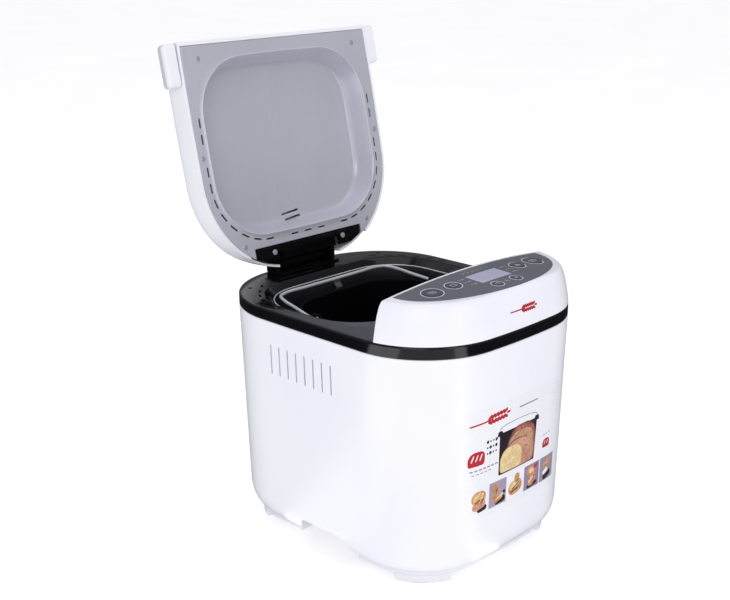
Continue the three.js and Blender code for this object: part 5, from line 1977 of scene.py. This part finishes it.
@dataclass
class PictureLabel:
    """A plain picture label on the front wall: a sliced loaf in a pan, marks, and five tiles."""

    tile_width: float = 25.4
    tile_gap: float = 1.5
    tile_left: float = -67.5
    tile_low: float = 75.0
    tile_high: float = 102.0
    proud: float = 0.15
    layer: float = 0.016

    def decal(self, name: str, outlines: Sequence[Array], finish: Finish, proud: float) -> None:
        """Makes and settles one piece from flat outlines on the front wall."""
        settle(patches(outlines, front_surface, proud, -0.05).make(name), finish)

    def slice_outline(self, u: float, v: float, half: float, height: float) -> Array:
        """A slice of bread: straight foot, upright sides and a domed crown.

        Args:
            u: Its middle across.
            v: Its middle in the other direction.
            half: Half its width.
            height: Its height.

        Returns:
            Its points.
        """
        corners = [
            (-0.96, 0.0), (0.96, 0.0), (1.0, 0.45), (1.0, 0.68), (0.86, 0.88), (0.5, 1.0),
            (-0.4, 1.0), (-0.8, 0.84), (-1.0, 0.58), (-1.0, 0.3),
        ]
        shape = np.array(corners) * [half, height] + [u, v]
        return rounded(shape.tolist(), half * 0.34, 5)

    def pan_picture(self) -> None:
        """The dark pan with its ears and wire, and the slices that lean in it."""
        side = rounded([(-28.5, 107), (27.5, 107), (29.5, 152), (-29, 152)], 2)
        self.decal("label_pan", [side], Finish.INK_DARK, 0.13)
        ears = [
            rounded([(u - 4, 149), (u + 4, 149), (u + 3, 154.5), (u - 3, 154.5)], 1.8)
            for u in (-0.86 * 33, 0.88 * 33)
        ]
        arch = np.linspace(math.radians(6), math.radians(174), 60)
        outer = np.stack([29.5 * np.cos(arch), 153.5 + 7.0 * np.sin(arch) ** 0.5], axis=1)
        inner = np.stack([28.9 * np.cos(arch), 153.0 + 6.8 * np.sin(arch) ** 0.5], axis=1)
        grid = np.stack([inner, outer])
        low = front_surface(grid[..., 0], grid[..., 1], 0.0)
        high = front_surface(grid[..., 0], grid[..., 1], 0.17)
        rings = np.stack([low[0], high[0], high[1], low[1]], axis=1)
        settle(Skin().loft(rings).make("label_pan_wire"), Finish.INK_GREY)
        slices = (
            ("label_crust", 5.0, 107.5, 22.6, 45.5, Finish.CRUST_DARK),
            ("label_crust_top", 6.6, 107.8, 20.4, 43.4, Finish.CRUST_RED),
            ("label_slice_rim", 3.8, 108.0, 21.4, 38.4, Finish.BERRY_TART),
            ("label_slice_seeded", 4.6, 108.1, 20.4, 37.0, Finish.CRUMB_SEEDED),
            ("label_slice_edge", -2.2, 108.2, 19.8, 31.0, Finish.CRUST_DARK),
            ("label_slice_brown", -1.0, 108.3, 19.2, 29.8, Finish.CRUMB_BROWN),
            ("label_slice_crust", -9.8, 108.4, 17.2, 25.6, Finish.CRUST_GOLD),
            ("label_slice_pale", -10.4, 108.5, 16.2, 24.6, Finish.CRUMB_PALE),
        )
        for order, (name, u, v, half, height, finish) in enumerate(slices):
            self.decal(name, [self.slice_outline(u, v, half, height)], finish, self.proud + order * self.layer)
        self.decal("label_pan_ears", ears, Finish.INK_DARK, self.proud + 0.1)

    def marks(self) -> None:
        """The wheat ear, loaf signs, dot grid and dashes round the picture."""
        self.decal("label_ear", wheat_ear(-43, 171, 54, math.radians(3)), Finish.INK_RED, 0.13)
        self.decal("label_dash", [stadium(14, 172, 15, 0.7)], Finish.INK_GREY, 0.13)
        loaf = [self.slice_outline(-60, 127, 10.5, 15), self.slice_outline(48.5, 113, 6.2, 9.5)]
        self.decal("label_loaf_sign", loaf, Finish.INK_RED, 0.13)
        scores = [stadium(-60 + step, 135.4, 3.6, 0.7, math.radians(66)) for step in (-5.2, 0.0, 5.2)]
        scores += [stadium(48.5 + step, 118.4, 2.2, 0.5, math.radians(66)) for step in (-2.2, 2.2)]
        self.decal("label_scores", scores, Finish.STICKER, 0.16)
        dots = [
            circle(-46 + 4.1 * column, 148.5 - 6.1 * row, 1.75 if (row * 2 + column) % 5 in (0, 3) else 1.05, 20)
            for row in range(3)
            for column in range(4)
        ]
        self.decal("label_dots", dots, Finish.INK_DARK, 0.13)
        dashes = [stadium(-66 + 5.6 * step, 122.2, 2.1, 0.75) for step in range(7)]
        dashes += [stadium(-64 + 5.6 * step, 118.0, 1.8, 0.45) for step in range(5)]
        dashes += [stadium(44 + 4.6 * step, 127.4 + 0.5 * step, 1.7, 0.45, math.radians(8)) for step in range(3)]
        self.decal("label_dashes", dashes, Finish.INK_GREY, 0.13)

    def tiles(self) -> None:
        """Five picture tiles in a row; morsels of one finish are gathered in one piece."""
        grounds = (Finish.STICKER, Finish.INK_LILAC, Finish.STICKER, Finish.INK_LILAC, Finish.INK_GREY)
        gathered: dict[Finish, Skin] = {}
        middle_v = (self.tile_low + self.tile_high) / 2
        pictures = (BASKET, LOAF, PASTRY, FRUIT, BREAKFAST)
        for index, (ground, morsels) in enumerate(zip(grounds, pictures)):
            u = self.tile_left + index * (self.tile_width + self.tile_gap)
            corners = block_outline((u, self.tile_low), (u + self.tile_width, self.tile_high))
            self.decal(f"label_tile_{index + 1}", [rounded(corners.tolist(), 1.0)], ground, 0.13)
            middle_u = u + self.tile_width / 2
            for order, morsel in enumerate(morsels):
                outline = morsel.outline(middle_u, middle_v)
                skin = gathered.setdefault(morsel.finish, Skin())
                patch(skin, outline, front_surface, self.proud + order * self.layer, -0.05)
        for finish, skin in gathered.items():
            settle(skin.make("label_food_" + finish.name.lower()), finish)

    def build(self) -> None:
        """Makes and settles the label's pieces."""
        sheet = rounded([(-72, 69), (69, 69), (69, 184), (-72, 184)], 5)
        self.decal("label_sheet", [sheet], Finish.STICKER, 0.1)
        self.pan_picture()
        self.marks()
        self.tiles()


# ---------- bread pan


@dataclass
class BreadPan:
    """The lift-out pan with its rolled rim, lugs, bail, paddle and shaft."""

    wall: float = 1.3
    rim: float = 239.4
    floor: float = 94.0
    taper: float = 8.0
    lug_x: float = 87.6
    bail_radius: float = 1.8
    bail_reach: float = 68.9
    bail_rise: float = 8.6

    def tub(self) -> Piece:
        """Rings up the outside of the pan, round the rolled rim as a circle, and down inside.

        Returns:
            The piece.
        """
        level = PAN_PLAN.level
        turn = np.linspace(0, math.pi / 2, 7)
        floor, t, taper = self.floor, self.wall, self.taper
        outer = [level(taper + 12 - t - 12 * math.sin(a), floor + 12 * (1 - math.cos(a))) for a in turn]
        tall = self.rim - 16 - floor
        outer += [level(-t + taper * s, self.rim - 4.1 - tall * s) for s in (0.75, 0.5, 0.25, 0.0)]
        inner = [level(taper * s, self.rim - 3 - tall * s) for s in (0.03, 0.25, 0.5, 0.75)]
        inner += [level(taper + 12 - 12 * math.sin(a), floor + t + 12 * (1 - math.cos(a))) for a in turn[::-1]]
        roll = [(-t - 0.2, 4.1), (-3.0, 4.0), (-3.7, 3.2), (-4.0, 2.1), (-3.7, 1.0), (-3.0, 0.3)]
        roll += [(-2.0, 0.0), (-1.0, 0.25), (-0.3, 1.1), (-0.05, 2.2)]
        rim = [level(inset, self.rim - down) for inset, down in roll]
        piece = Skin().loft(np.stack([*outer, *rim, *inner])).make("pan_tub", turn_out=False)
        return carve(piece, (Cut.REMOVE, cutter([circle(0, WELL_Y, 8.8)], 2, floor - 5, floor + 8)))

    def bail(self) -> Piece:
        """The bail wire: hooks at the lugs, flared arms and a straight run behind the pan.

        Returns:
            The piece.
        """
        arm_x, corner_x, corner = 92.0, 84.0, 17.0
        reach, rise, z = self.bail_reach, self.bail_rise, self.rim
        shares = [
            (self.lug_x - 1.2, 0), (arm_x - 2.6, 0), (arm_x - 0.4, 0.035), (arm_x - 0.4, 0.12),
            ((arm_x + corner_x) / 2, 0.45), (corner_x + 1, 1 - corner / reach),
            (corner_x - corner * 0.26, 1 - corner * 0.26 / reach), (corner_x - corner, 1), (40, 1),
        ]
        half = [(x, WELL_Y + reach * share, z + rise * share) for x, share in shares]
        other = [(-x, y, h) for x, y, h in half[::-1]]
        path = smooth_path([*half, (0, WELL_Y + reach, z + rise), *other], 320)
        skin = tube(path, self.bail_radius, (0, -rise, reach), 20)
        return skin.make("bail_wire")

    def build(self, frame: dict[str, Any]) -> None:
        """Makes and settles the pan's pieces.
        """
        settle(self.tub(), Finish.COATING, "bread_pan", body="pan")
        settle(self.bail(), Finish.STEEL, "bail_handle", body="bail")
        for tag in ("left", "right"):
            lug = refined(frame, f"bail_lug_{tag}", f"pan_lug_{tag}", 0.4)
            settle(lug, Finish.COATING, f"bail_lug_{tag}", body="pan")
        foot = [(31, 74.5), (38.4, 74.5), (38.4, 93.7), (31, 93.7)]
        settle(turned("pan_foot_ring", foot, MIDDLE, 1.2, 4, sides=96), Finish.CHAMBER, "pan_base_ring", body="pan")
        bush = [(4.3, 87.5), (15, 87.5), (15, 93.7), (8.5, 93.7), (8.5, 98), (4.3, 98)]
        settle(turned("pan_bushing", bush, MIDDLE, 0.5), Finish.STEEL, "pan_bush", body="pan")
        for node, name, finish, body, width in (
            ("pan_shaft", "paddle_axle", Finish.STEEL, "paddle_shaft", 0.3),
            ("pan_coupling", "paddle_dogs", Finish.STEEL, "paddle_shaft", 0.35),
            ("kneading_paddle", "paddle_blade", Finish.COATING, "paddle", 0.8),
        ):
            settle(refined(frame, node, name, width), finish, node, body=body)


# ---------- lid


@dataclass
class Lid:
    """The lid: domed shell, dished liner with its slots and screws, grips and hinge."""

    bottom: float = 254.6
    front: float = -88.0
    wall: float = 2.4
    liner_z: float = 255.1
    liner_front: float = -83.7
    liner_inset: float = 3.0
    dish_middle: tuple[float, float] = (0.0, 26.3)
    slot_offset: float = 6.2
    slot_pitch: float = 16.9
    screws: tuple[tuple[float, float], ...] = ((110.0, -69.7), (125.6, 31.0), (91.0, 130.1))
    louvres: tuple[tuple[float, float], ...] = ((-3.6, 106.0), (-2.2, 112.4))
    louvre_turn: float = math.radians(-5)
    dome: Dome = Dome(LID_PLAN, 254.6, 8.0)

    def shell(self) -> Piece:
        """The dome behind the control housing's line, hollowed, notched for the hinge.

        Returns:
            The piece.
        """
        piece = self.dome.solid("lid_cap", Place.LID)
        inner = self.dome.solid("lid_hollow", Place.LID, self.liner_inset - 1, self.wall, self.bottom - 5)
        carve(inner, (Cut.KEEP, block_tool([-FAR, self.front + 4.0, FAR], [FAR, FAR, 360], Place.LID)))
        keep = block_tool([-FAR, self.front, FAR], [FAR, FAR, 360], Place.LID)
        notch = block_tool([-45.5, 138, 250], [45.5, 170, 286.5], Place.LID)
        relief = block_tool([-86, 140, 250], [86, 170, 259.3], Place.LID)
        carve(piece, (Cut.KEEP, keep), (Cut.REMOVE, inner), (Cut.REMOVE, notch), (Cut.REMOVE, relief))
        round_edges(piece, 0.6, 3, 50.0)
        return piece

    def liner_angles(self) -> Array:
        """Angles about the dish's middle, with the liner's two front corners among them.

        Returns:
            The angles, in order.
        """
        edge = LID_PLAN.outline(self.liner_inset)
        right = edge[(edge[:, 0] > 0) & (edge[:, 1] > -140) & (edge[:, 1] < 0)]
        corner_x = float(np.interp(self.liner_front, right[:, 1], right[:, 0]))
        drop = self.liner_front - self.dish_middle[1]
        corners = [math.atan2(drop, sign * corner_x) for sign in (-1, 1)]
        even = np.linspace(-math.pi, math.pi, 240, endpoint=False)
        return np.unique(np.concatenate([even, corners]))

    def liner_edge(self, angle: Array, inset: float) -> Array:
        """The liner's outer edge by angle: the lid's outline, cut straight along the front.

        Args:
            angle: Angles in radians.
            inset: How far the outline moves in.

        Returns:
            Distances from the dish's middle.
        """
        radius = LID_PLAN.polar(self.dish_middle, angle, inset)
        drop = self.dish_middle[1] - self.liner_front - (inset - self.liner_inset)
        down = np.maximum(-np.sin(angle), 1e-6)
        return np.minimum(radius, drop / down)

    def liner(self) -> Piece:
        """The liner's face: from its edge to a bead, over the bead and down into the dish.

        Each ring is the dish's middle plus a radius by angle; the radius blends from the outer edge
        to the dish's outline, whose inset and height follow the pressed section.

        Returns:
            The piece.
        """
        angle = self.liner_angles()
        spoke = np.stack([np.cos(angle), np.sin(angle)], axis=1)
        middle = np.array(self.dish_middle)
        z = self.liner_z
        outer = self.liner_edge(angle, self.liner_inset)
        lip = DISH_PLAN.polar(self.dish_middle, angle, -2.6)
        rows = [(outer, z + 0.5), (self.liner_edge(angle, self.liner_inset + 0.5), z)]
        rows += [(outer * (1 - s) + lip * s, z) for s in (0.2, 0.4, 0.6, 0.8)]
        section = [
            (-2.6, 0.0), (-2.2, -0.25), (-1.6, -0.45), (-1.0, -0.3), (-0.2, 0.5), (0.5, 1.8), (2.3, 6.0),
            (4.0, 10.4), (5.6, 14.8), (6.6, 17.4), (7.8, 19.6), (9.6, 21.2), (12.0, 22.0), (15.0, 22.2),
        ]
        rows += [(DISH_PLAN.polar(self.dish_middle, angle, inset), z + depth) for inset, depth in section]
        last = rows[-1][0]
        rows += [(last * s, z + 22.2 + 1.2 * (1 - s * s)) for s in np.linspace(1, 0, 14)[1:-1]]
        rings = np.stack(
            [np.column_stack([middle + spoke * r[:, None], np.full(len(angle), h)]) for r, h in rows]
        )
        skin = Skin().loft(rings, open_ends=True)
        pole = skin.add_points(np.array([[middle[0], middle[1], z + 23.4]]))
        first = (len(rows) - 1) * len(angle)
        here = np.arange(len(angle))
        there = (here + 1) % len(angle)
        skin.faces += np.stack([np.full(len(angle), pole), first + here, first + there], axis=1).tolist()
        piece = skin.make("lid_liner_sheet", Place.LID, turn_out=False)
        piece.data.flip_normals()
        solid = piece.modifiers.new("sheet", "SOLIDIFY")
        solid.thickness = 1.0 * MM
        solid.offset = -1.0
        solid.use_even_offset = True
        slots = [stadium(x, y, 5.3, 1.0, turn) for x, y, turn in self.slot_places()]
        louvres = [stadium(x, y, 12.5, 1.3, self.louvre_turn) for x, y in self.louvres]
        tools = [cutter(slots, 2, z - 6, z + 8, Place.LID), cutter(louvres, 2, z + 12, z + 32, Place.LID)]
        tools.append(block_tool([-79, 134.6, 250], [79, 170, 262], Place.LID))
        return carve(piece, *[(Cut.REMOVE, tool) for tool in tools])

    def bead(self) -> Piece:
        """The folded edge round the dish's mouth: a half-round ring along its outline, in a lighter copy of the
        liner's sheet that paints its bright highlight line.

        Returns:
            The piece.
        """
        turn = np.linspace(0.0, math.pi, 7)
        section = [(-0.9 - 0.8 * math.cos(a), self.liner_z + 0.1 - 0.8 * math.sin(a)) for a in turn]
        section.append((-0.9, self.liner_z + 0.6))
        rings = [DISH_PLAN.level(inset, z) for inset, z in section]
        return Skin().loft(np.stack(rings), loop=True).make("liner_bead", Place.LID)

    def hoods(self) -> Piece:
        """The pressed lips under the two louvres, in the lighter bead sheet as a painted highlight under each
        louvre.

        Returns:
            The piece.
        """
        skin = Skin()
        for x, y in self.louvres:
            along = np.linspace(-12.0, 12.0, 20)
            c, s = math.cos(self.louvre_turn), math.sin(self.louvre_turn)
            high = np.full(20, self.liner_z + 22.4)
            path = np.stack([x + along * c + 1.9 * s, y + along * s + 1.9 * c, high], axis=1)
            wire = tube(path, 0.9, (0, 0, 1), 12)
            start = skin.add_points(np.concatenate(wire.points))
            skin.faces += [[start + index for index in face] for face in wire.faces]
        return skin.make("louvre_lips", Place.LID)

    def slot_places(self) -> list[tuple[float, float, float]]:
        """Middles and bearings of the slots, at an even pitch along a line outside the dish.

        The screws take the place of one slot on each side, and gaps flank the three rear slots.

        Returns:
            Each as x, y and bearing.
        """
        path = DISH_PLAN.outline(-self.slot_offset)
        right = path[: len(path) // 2 + 1]
        run = np.concatenate([[0.0], np.cumsum(np.linalg.norm(np.diff(right, axis=0), axis=1))])
        side = (right[:, 0] > 118) & (right[:, 1] > 0) & (right[:, 1] < 60)
        flank = float(np.interp(self.screws[1][1] - 2.1, right[side, 1], run[side]))
        places = []
        for step in (-2, -1, 1, 2, 3, 4, 5, 6, 7, 8):
            s = flank + step * self.slot_pitch
            x, y = np.interp(s, run, right[:, 0]), np.interp(s, run, right[:, 1])
            x2, y2 = np.interp(s + 1, run, right[:, 0]), np.interp(s + 1, run, right[:, 1])
            turn = math.atan2(y2 - y, x2 - x)
            places += [(float(x), float(y), turn), (-float(x), float(y), -turn)]
        places += [(x, DISH_PLAN.rear + self.slot_offset, 0.0) for x in (-19.8, 0.0, 19.8)]
        return places

    def screw(self, name: str, x: float, y: float, z: float, radius: float) -> Piece:
        """A domed screw head under the liner with a cross recess.

        Args:
            name: The piece's name.
            x: Middle across.
            y: Middle from front to back.
            z: Height.
            radius: Its radius.

        Returns:
            The piece.
        """
        t = np.linspace(0, math.pi / 2, 7)
        dome = [(radius * math.cos(a), z - 0.15 - 0.55 * math.sin(a)) for a in t]
        shank = [(0, z + 2), (radius * 0.5, z + 2), (radius * 0.5, z), (radius, z)]
        piece = lathe([*shank, *dome], (x, y, 0), sides=40).make(name, Place.LID)
        arm, half = radius * 0.62, radius * 0.17
        corner = [(arm, -half), (arm, half), (half, half)]
        turns = [(1, 0, 0, 1), (0, -1, 1, 0), (-1, 0, 0, -1), (0, 1, -1, 0)]
        outline = [(x + a * u + b * v, y + c * u + d * v) for a, b, c, d in turns for u, v in corner]
        recess = cutter([np.array(outline)], 2, z - 1.5, z - 0.2, Place.LID)
        return carve(piece, (Cut.REMOVE, recess))

    def grip(self, sign: int) -> Piece:
        """A flared grip on a side wall: a rounded section, drawn out front to back.

        Args:
            sign: 1 for the right side, -1 for the left.

        Returns:
            The piece.
        """
        wall, outer, low, high = 134.7, 149.0, 255.4, 284.0
        corners = [(wall, low), (outer, low), (outer, low + 6)]
        corners += [(wall + 2.4, high), (wall - 0.9, high), (wall - 0.6, low + 14)]
        section = rounded([(sign * x, z) for x, z in corners], 2.0, 5)
        t = np.linspace(-1, 1, 25)
        y = -65.9 + 21.7 * t
        squeeze = 1 - 0.16 * np.maximum(0, (np.abs(t) - 0.82) / 0.18) ** 2.2
        inner = np.array([sign * wall, low + 12])
        rings = inner + (section[None] - inner) * squeeze[:, None, None]
        grid = np.stack([rings[..., 0], np.repeat(y[:, None], len(section), 1), rings[..., 1]], axis=-1)
        tag = "right" if sign > 0 else "left"
        piece = Skin().loft(grid).make(f"grip_{tag}", Place.LID)
        return carve(piece, (Cut.REMOVE, self.dome.solid("grip_room", Place.LID, -0.1, -0.1)))

    def build(self, frame: dict[str, Any]) -> None:
        """Makes and settles the lid's pieces.
        """
        settle(self.shell(), Finish.WHITE, "lid_shell", body="lid")
        settle(self.liner(), Finish.LINER, "lid_liner", body="lid")
        # The bead and the louvre lips are painted lighter than the liner, as highlights.
        settle(self.bead(), Finish.BEAD, body="lid")
        settle(self.hoods(), Finish.BEAD, body="lid")
        for sign, tag in ((-1, "left"), (1, "right")):
            settle(self.grip(sign), Finish.WHITE, f"lid_grip_{tag}", body="lid")
            for index, (x, y) in enumerate(self.screws):
                piece = self.screw(f"liner_screw_{tag}_{index + 1}", sign * x, y, self.liner_z - 0.05, 2.9)
                settle(piece, Finish.SCREW, body="lid")
            piece = self.screw(f"hinge_bolt_{tag}", sign * 51, 143, 256.5, 3.1)
            settle(piece, Finish.SCREW, f"hinge_screw_{tag}", body="lid")
        settle(refined(frame, "hinge_leaf", "hinge_plate", 0.5), Finish.HINGE_BLACK, "hinge_leaf", body="lid")
        settle(refined(frame, "hinge_base", "hinge_stand", 0.5), Finish.HINGE_BLACK, "hinge_base")
        pin = [(0, -44.6), (1.8, -44.6), (2.2, -44.2), (2.2, 44.2), (1.8, 44.6), (0, 44.6)]
        settle(turned("hinge_rod", pin, (0, HINGE_Y, HINGE_Z), axis=0, sides=32), Finish.STEEL, "hinge_pin")


# ---------- stage


@dataclass
class Studio:
    """Pale floor, soft lights and the camera."""

    camera_at: tuple[float, float, float] = (-0.8861, -0.8615, 0.6288)
    azimuth_deg: float = -45.165
    elevation_deg: float = 17.497
    roll_deg: float = -0.438
    lens_mm: float = 60.15

    def camera(self) -> None:
        """Places the camera by its azimuth, elevation and roll."""
        azimuth, elevation, roll = (math.radians(a) for a in (self.azimuth_deg, self.elevation_deg, self.roll_deg))
        back = Vector(
            (math.sin(azimuth) * math.cos(elevation), -math.cos(azimuth) * math.cos(elevation), math.sin(elevation))
        )
        x = Vector((0, 0, 1)).cross(back).normalized()
        y = back.cross(x)
        right = math.cos(roll) * x + math.sin(roll) * y
        up = -math.sin(roll) * x + math.cos(roll) * y
        matrix = Matrix((right, up, back)).transposed().to_4x4()
        matrix.translation = Vector(self.camera_at)
        data = bpy.data.cameras.new("view")
        data.lens = self.lens_mm
        data.sensor_width = 36.0
        data.clip_start, data.clip_end = 0.02, 60.0
        camera = bpy.data.objects.new("view", data)
        camera.matrix_world = matrix
        bpy.context.scene.collection.objects.link(camera)
        bpy.context.scene.camera = camera

    def softbox(self, name: str, at: tuple[float, float, float], size: tuple[float, float], power: float) -> None:
        """A rectangular light aimed at the machine's middle.

        Args:
            name: The piece's name.
            at: Its place in metres.
            size: Its width and height.
            power: Its power in watts.
        """
        data = bpy.data.lights.new(name, "AREA")
        data.shape = "RECTANGLE"
        data.size, data.size_y = size
        data.energy = power
        light = bpy.data.objects.new(name, data)
        light.location = at
        aim = Vector((0.0, 0.0, 0.25)) - Vector(at)
        light.rotation_mode = "QUATERNION"
        light.rotation_quaternion = aim.to_track_quat("-Z", "Y")
        bpy.context.scene.collection.objects.link(light)

    def floor(self) -> None:
        """A wide pale floor with a faint mottle.

        Gloss surfaces see it dark, but for two bright cards, one to the left and one in front, and a dim
        stretch between them.
        """
        grid = np.linspace(-24.0, 24.0, 25) / MM
        x, y = np.meshgrid(grid, grid, indexing="xy")
        points = np.stack([x, y, np.zeros_like(x)], axis=-1)
        piece = Skin().sheet(points).make("floor", turn_out=False)
        white = {"Specular IOR Level": 0.1, "Emission Color": rgba((1, 1, 1)), "Emission Strength": 0.3}
        board = MaterialBoard("floor_paper", white)
        vector, shader = board.vector, board.shader
        mottle = board.range(board.noise(vector, 3.0, 3.0), 0.3, 0.7)
        colour = board.blend(mottle, rgba((0.93, 0.93, 0.93)), rgba((0.95, 0.95, 0.95)))
        board.join(shader, {"Base Color": colour, "Roughness": board.range(mottle, 0, 1, 0.75, 0.85)})
        axes = board.add("ShaderNodeSeparateXYZ", {0: vector}).outputs
        bearing = board.math("ARCTAN2", axes["Y"], axes["X"])
        left = board.range(board.math("ABSOLUTE", bearing), 2.78, 2.84)
        away = board.math("ABSOLUTE", board.math("ADD", bearing, 1.66))
        front = board.range(away, 0.1, 0.14, 1.0, 0.0)
        between = board.range(bearing, -1.8, -1.76, 0.34, 0.0)
        glow = board.times(board.math("MAXIMUM", board.math("MAXIMUM", left, front), between), 1.6)
        cards = board.add("ShaderNodeEmission", {"Strength": board.math("ADD", glow, 0.03)})
        glossy = board.add("ShaderNodeLightPath").outputs["Is Glossy Ray"]
        mix = board.add("ShaderNodeMixShader", {0: glossy, 1: shader.outputs[0], 2: cards.outputs[0]})
        board.join(board.tree.nodes["Material Output"], {0: mix.outputs[0]})
        piece.data.materials.append(board.material)

    def world(self) -> None:
        """A plain white room: bright to the eye, softer as a light."""
        world = bpy.data.worlds.new("room")
        bpy.context.scene.world = world
        world.use_nodes = True
        board = NodeBoard(world.node_tree)
        seen = world.node_tree.nodes["Background"]
        seen.inputs[0].default_value = (1.0, 1.0, 1.0, 1.0)
        seen.inputs[1].default_value = 1.0
        path = board.add("ShaderNodeLightPath")
        dimmed = board.range(path.outputs["Is Glossy Ray"], 0.0, 1.0, 0.76, 0.2)
        lit = board.add("ShaderNodeBackground", {0: (0.97, 0.97, 1.0, 1.0), 1: dimmed})
        mix = board.add(
            "ShaderNodeMixShader", {0: path.outputs["Is Camera Ray"], 1: lit.outputs[0], 2: seen.outputs[0]}
        )
        board.join(board.tree.nodes["World Output"], {0: mix.outputs[0]})

    def build(self) -> None:
        """Sets up the whole stage."""
        scene = bpy.context.scene
        scene.view_settings.view_transform = "Standard"
        scene.view_settings.look = "None"
        self.world()
        self.floor()
        self.softbox("key", (-1.7, -1.1, 1.4), (1.0, 1.2), 7)
        self.softbox("front", (-0.3, -2.1, 0.9), (0.8, 1.0), 4)
        self.softbox("top", (0.1, -0.2, 2.4), (1.8, 1.8), 6)
        self.camera()


# ---------- all together


def main() -> None:
    """Loads the frame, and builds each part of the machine."""
    logging.basicConfig(level=logging.INFO, format="%(name)s: %(message)s")
    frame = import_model()
    Studio().build()
    housing = HousingShell()
    housing.build()
    BaseTray().build(housing)
    DeckBezel().build()
    Oven().build(frame)
    Drive().build(frame)
    ControlHousing().build()
    PictureLabel().build()
    BreadPan().build(frame)
    Lid().build(frame)


if __name__ == "__main__":
    main()
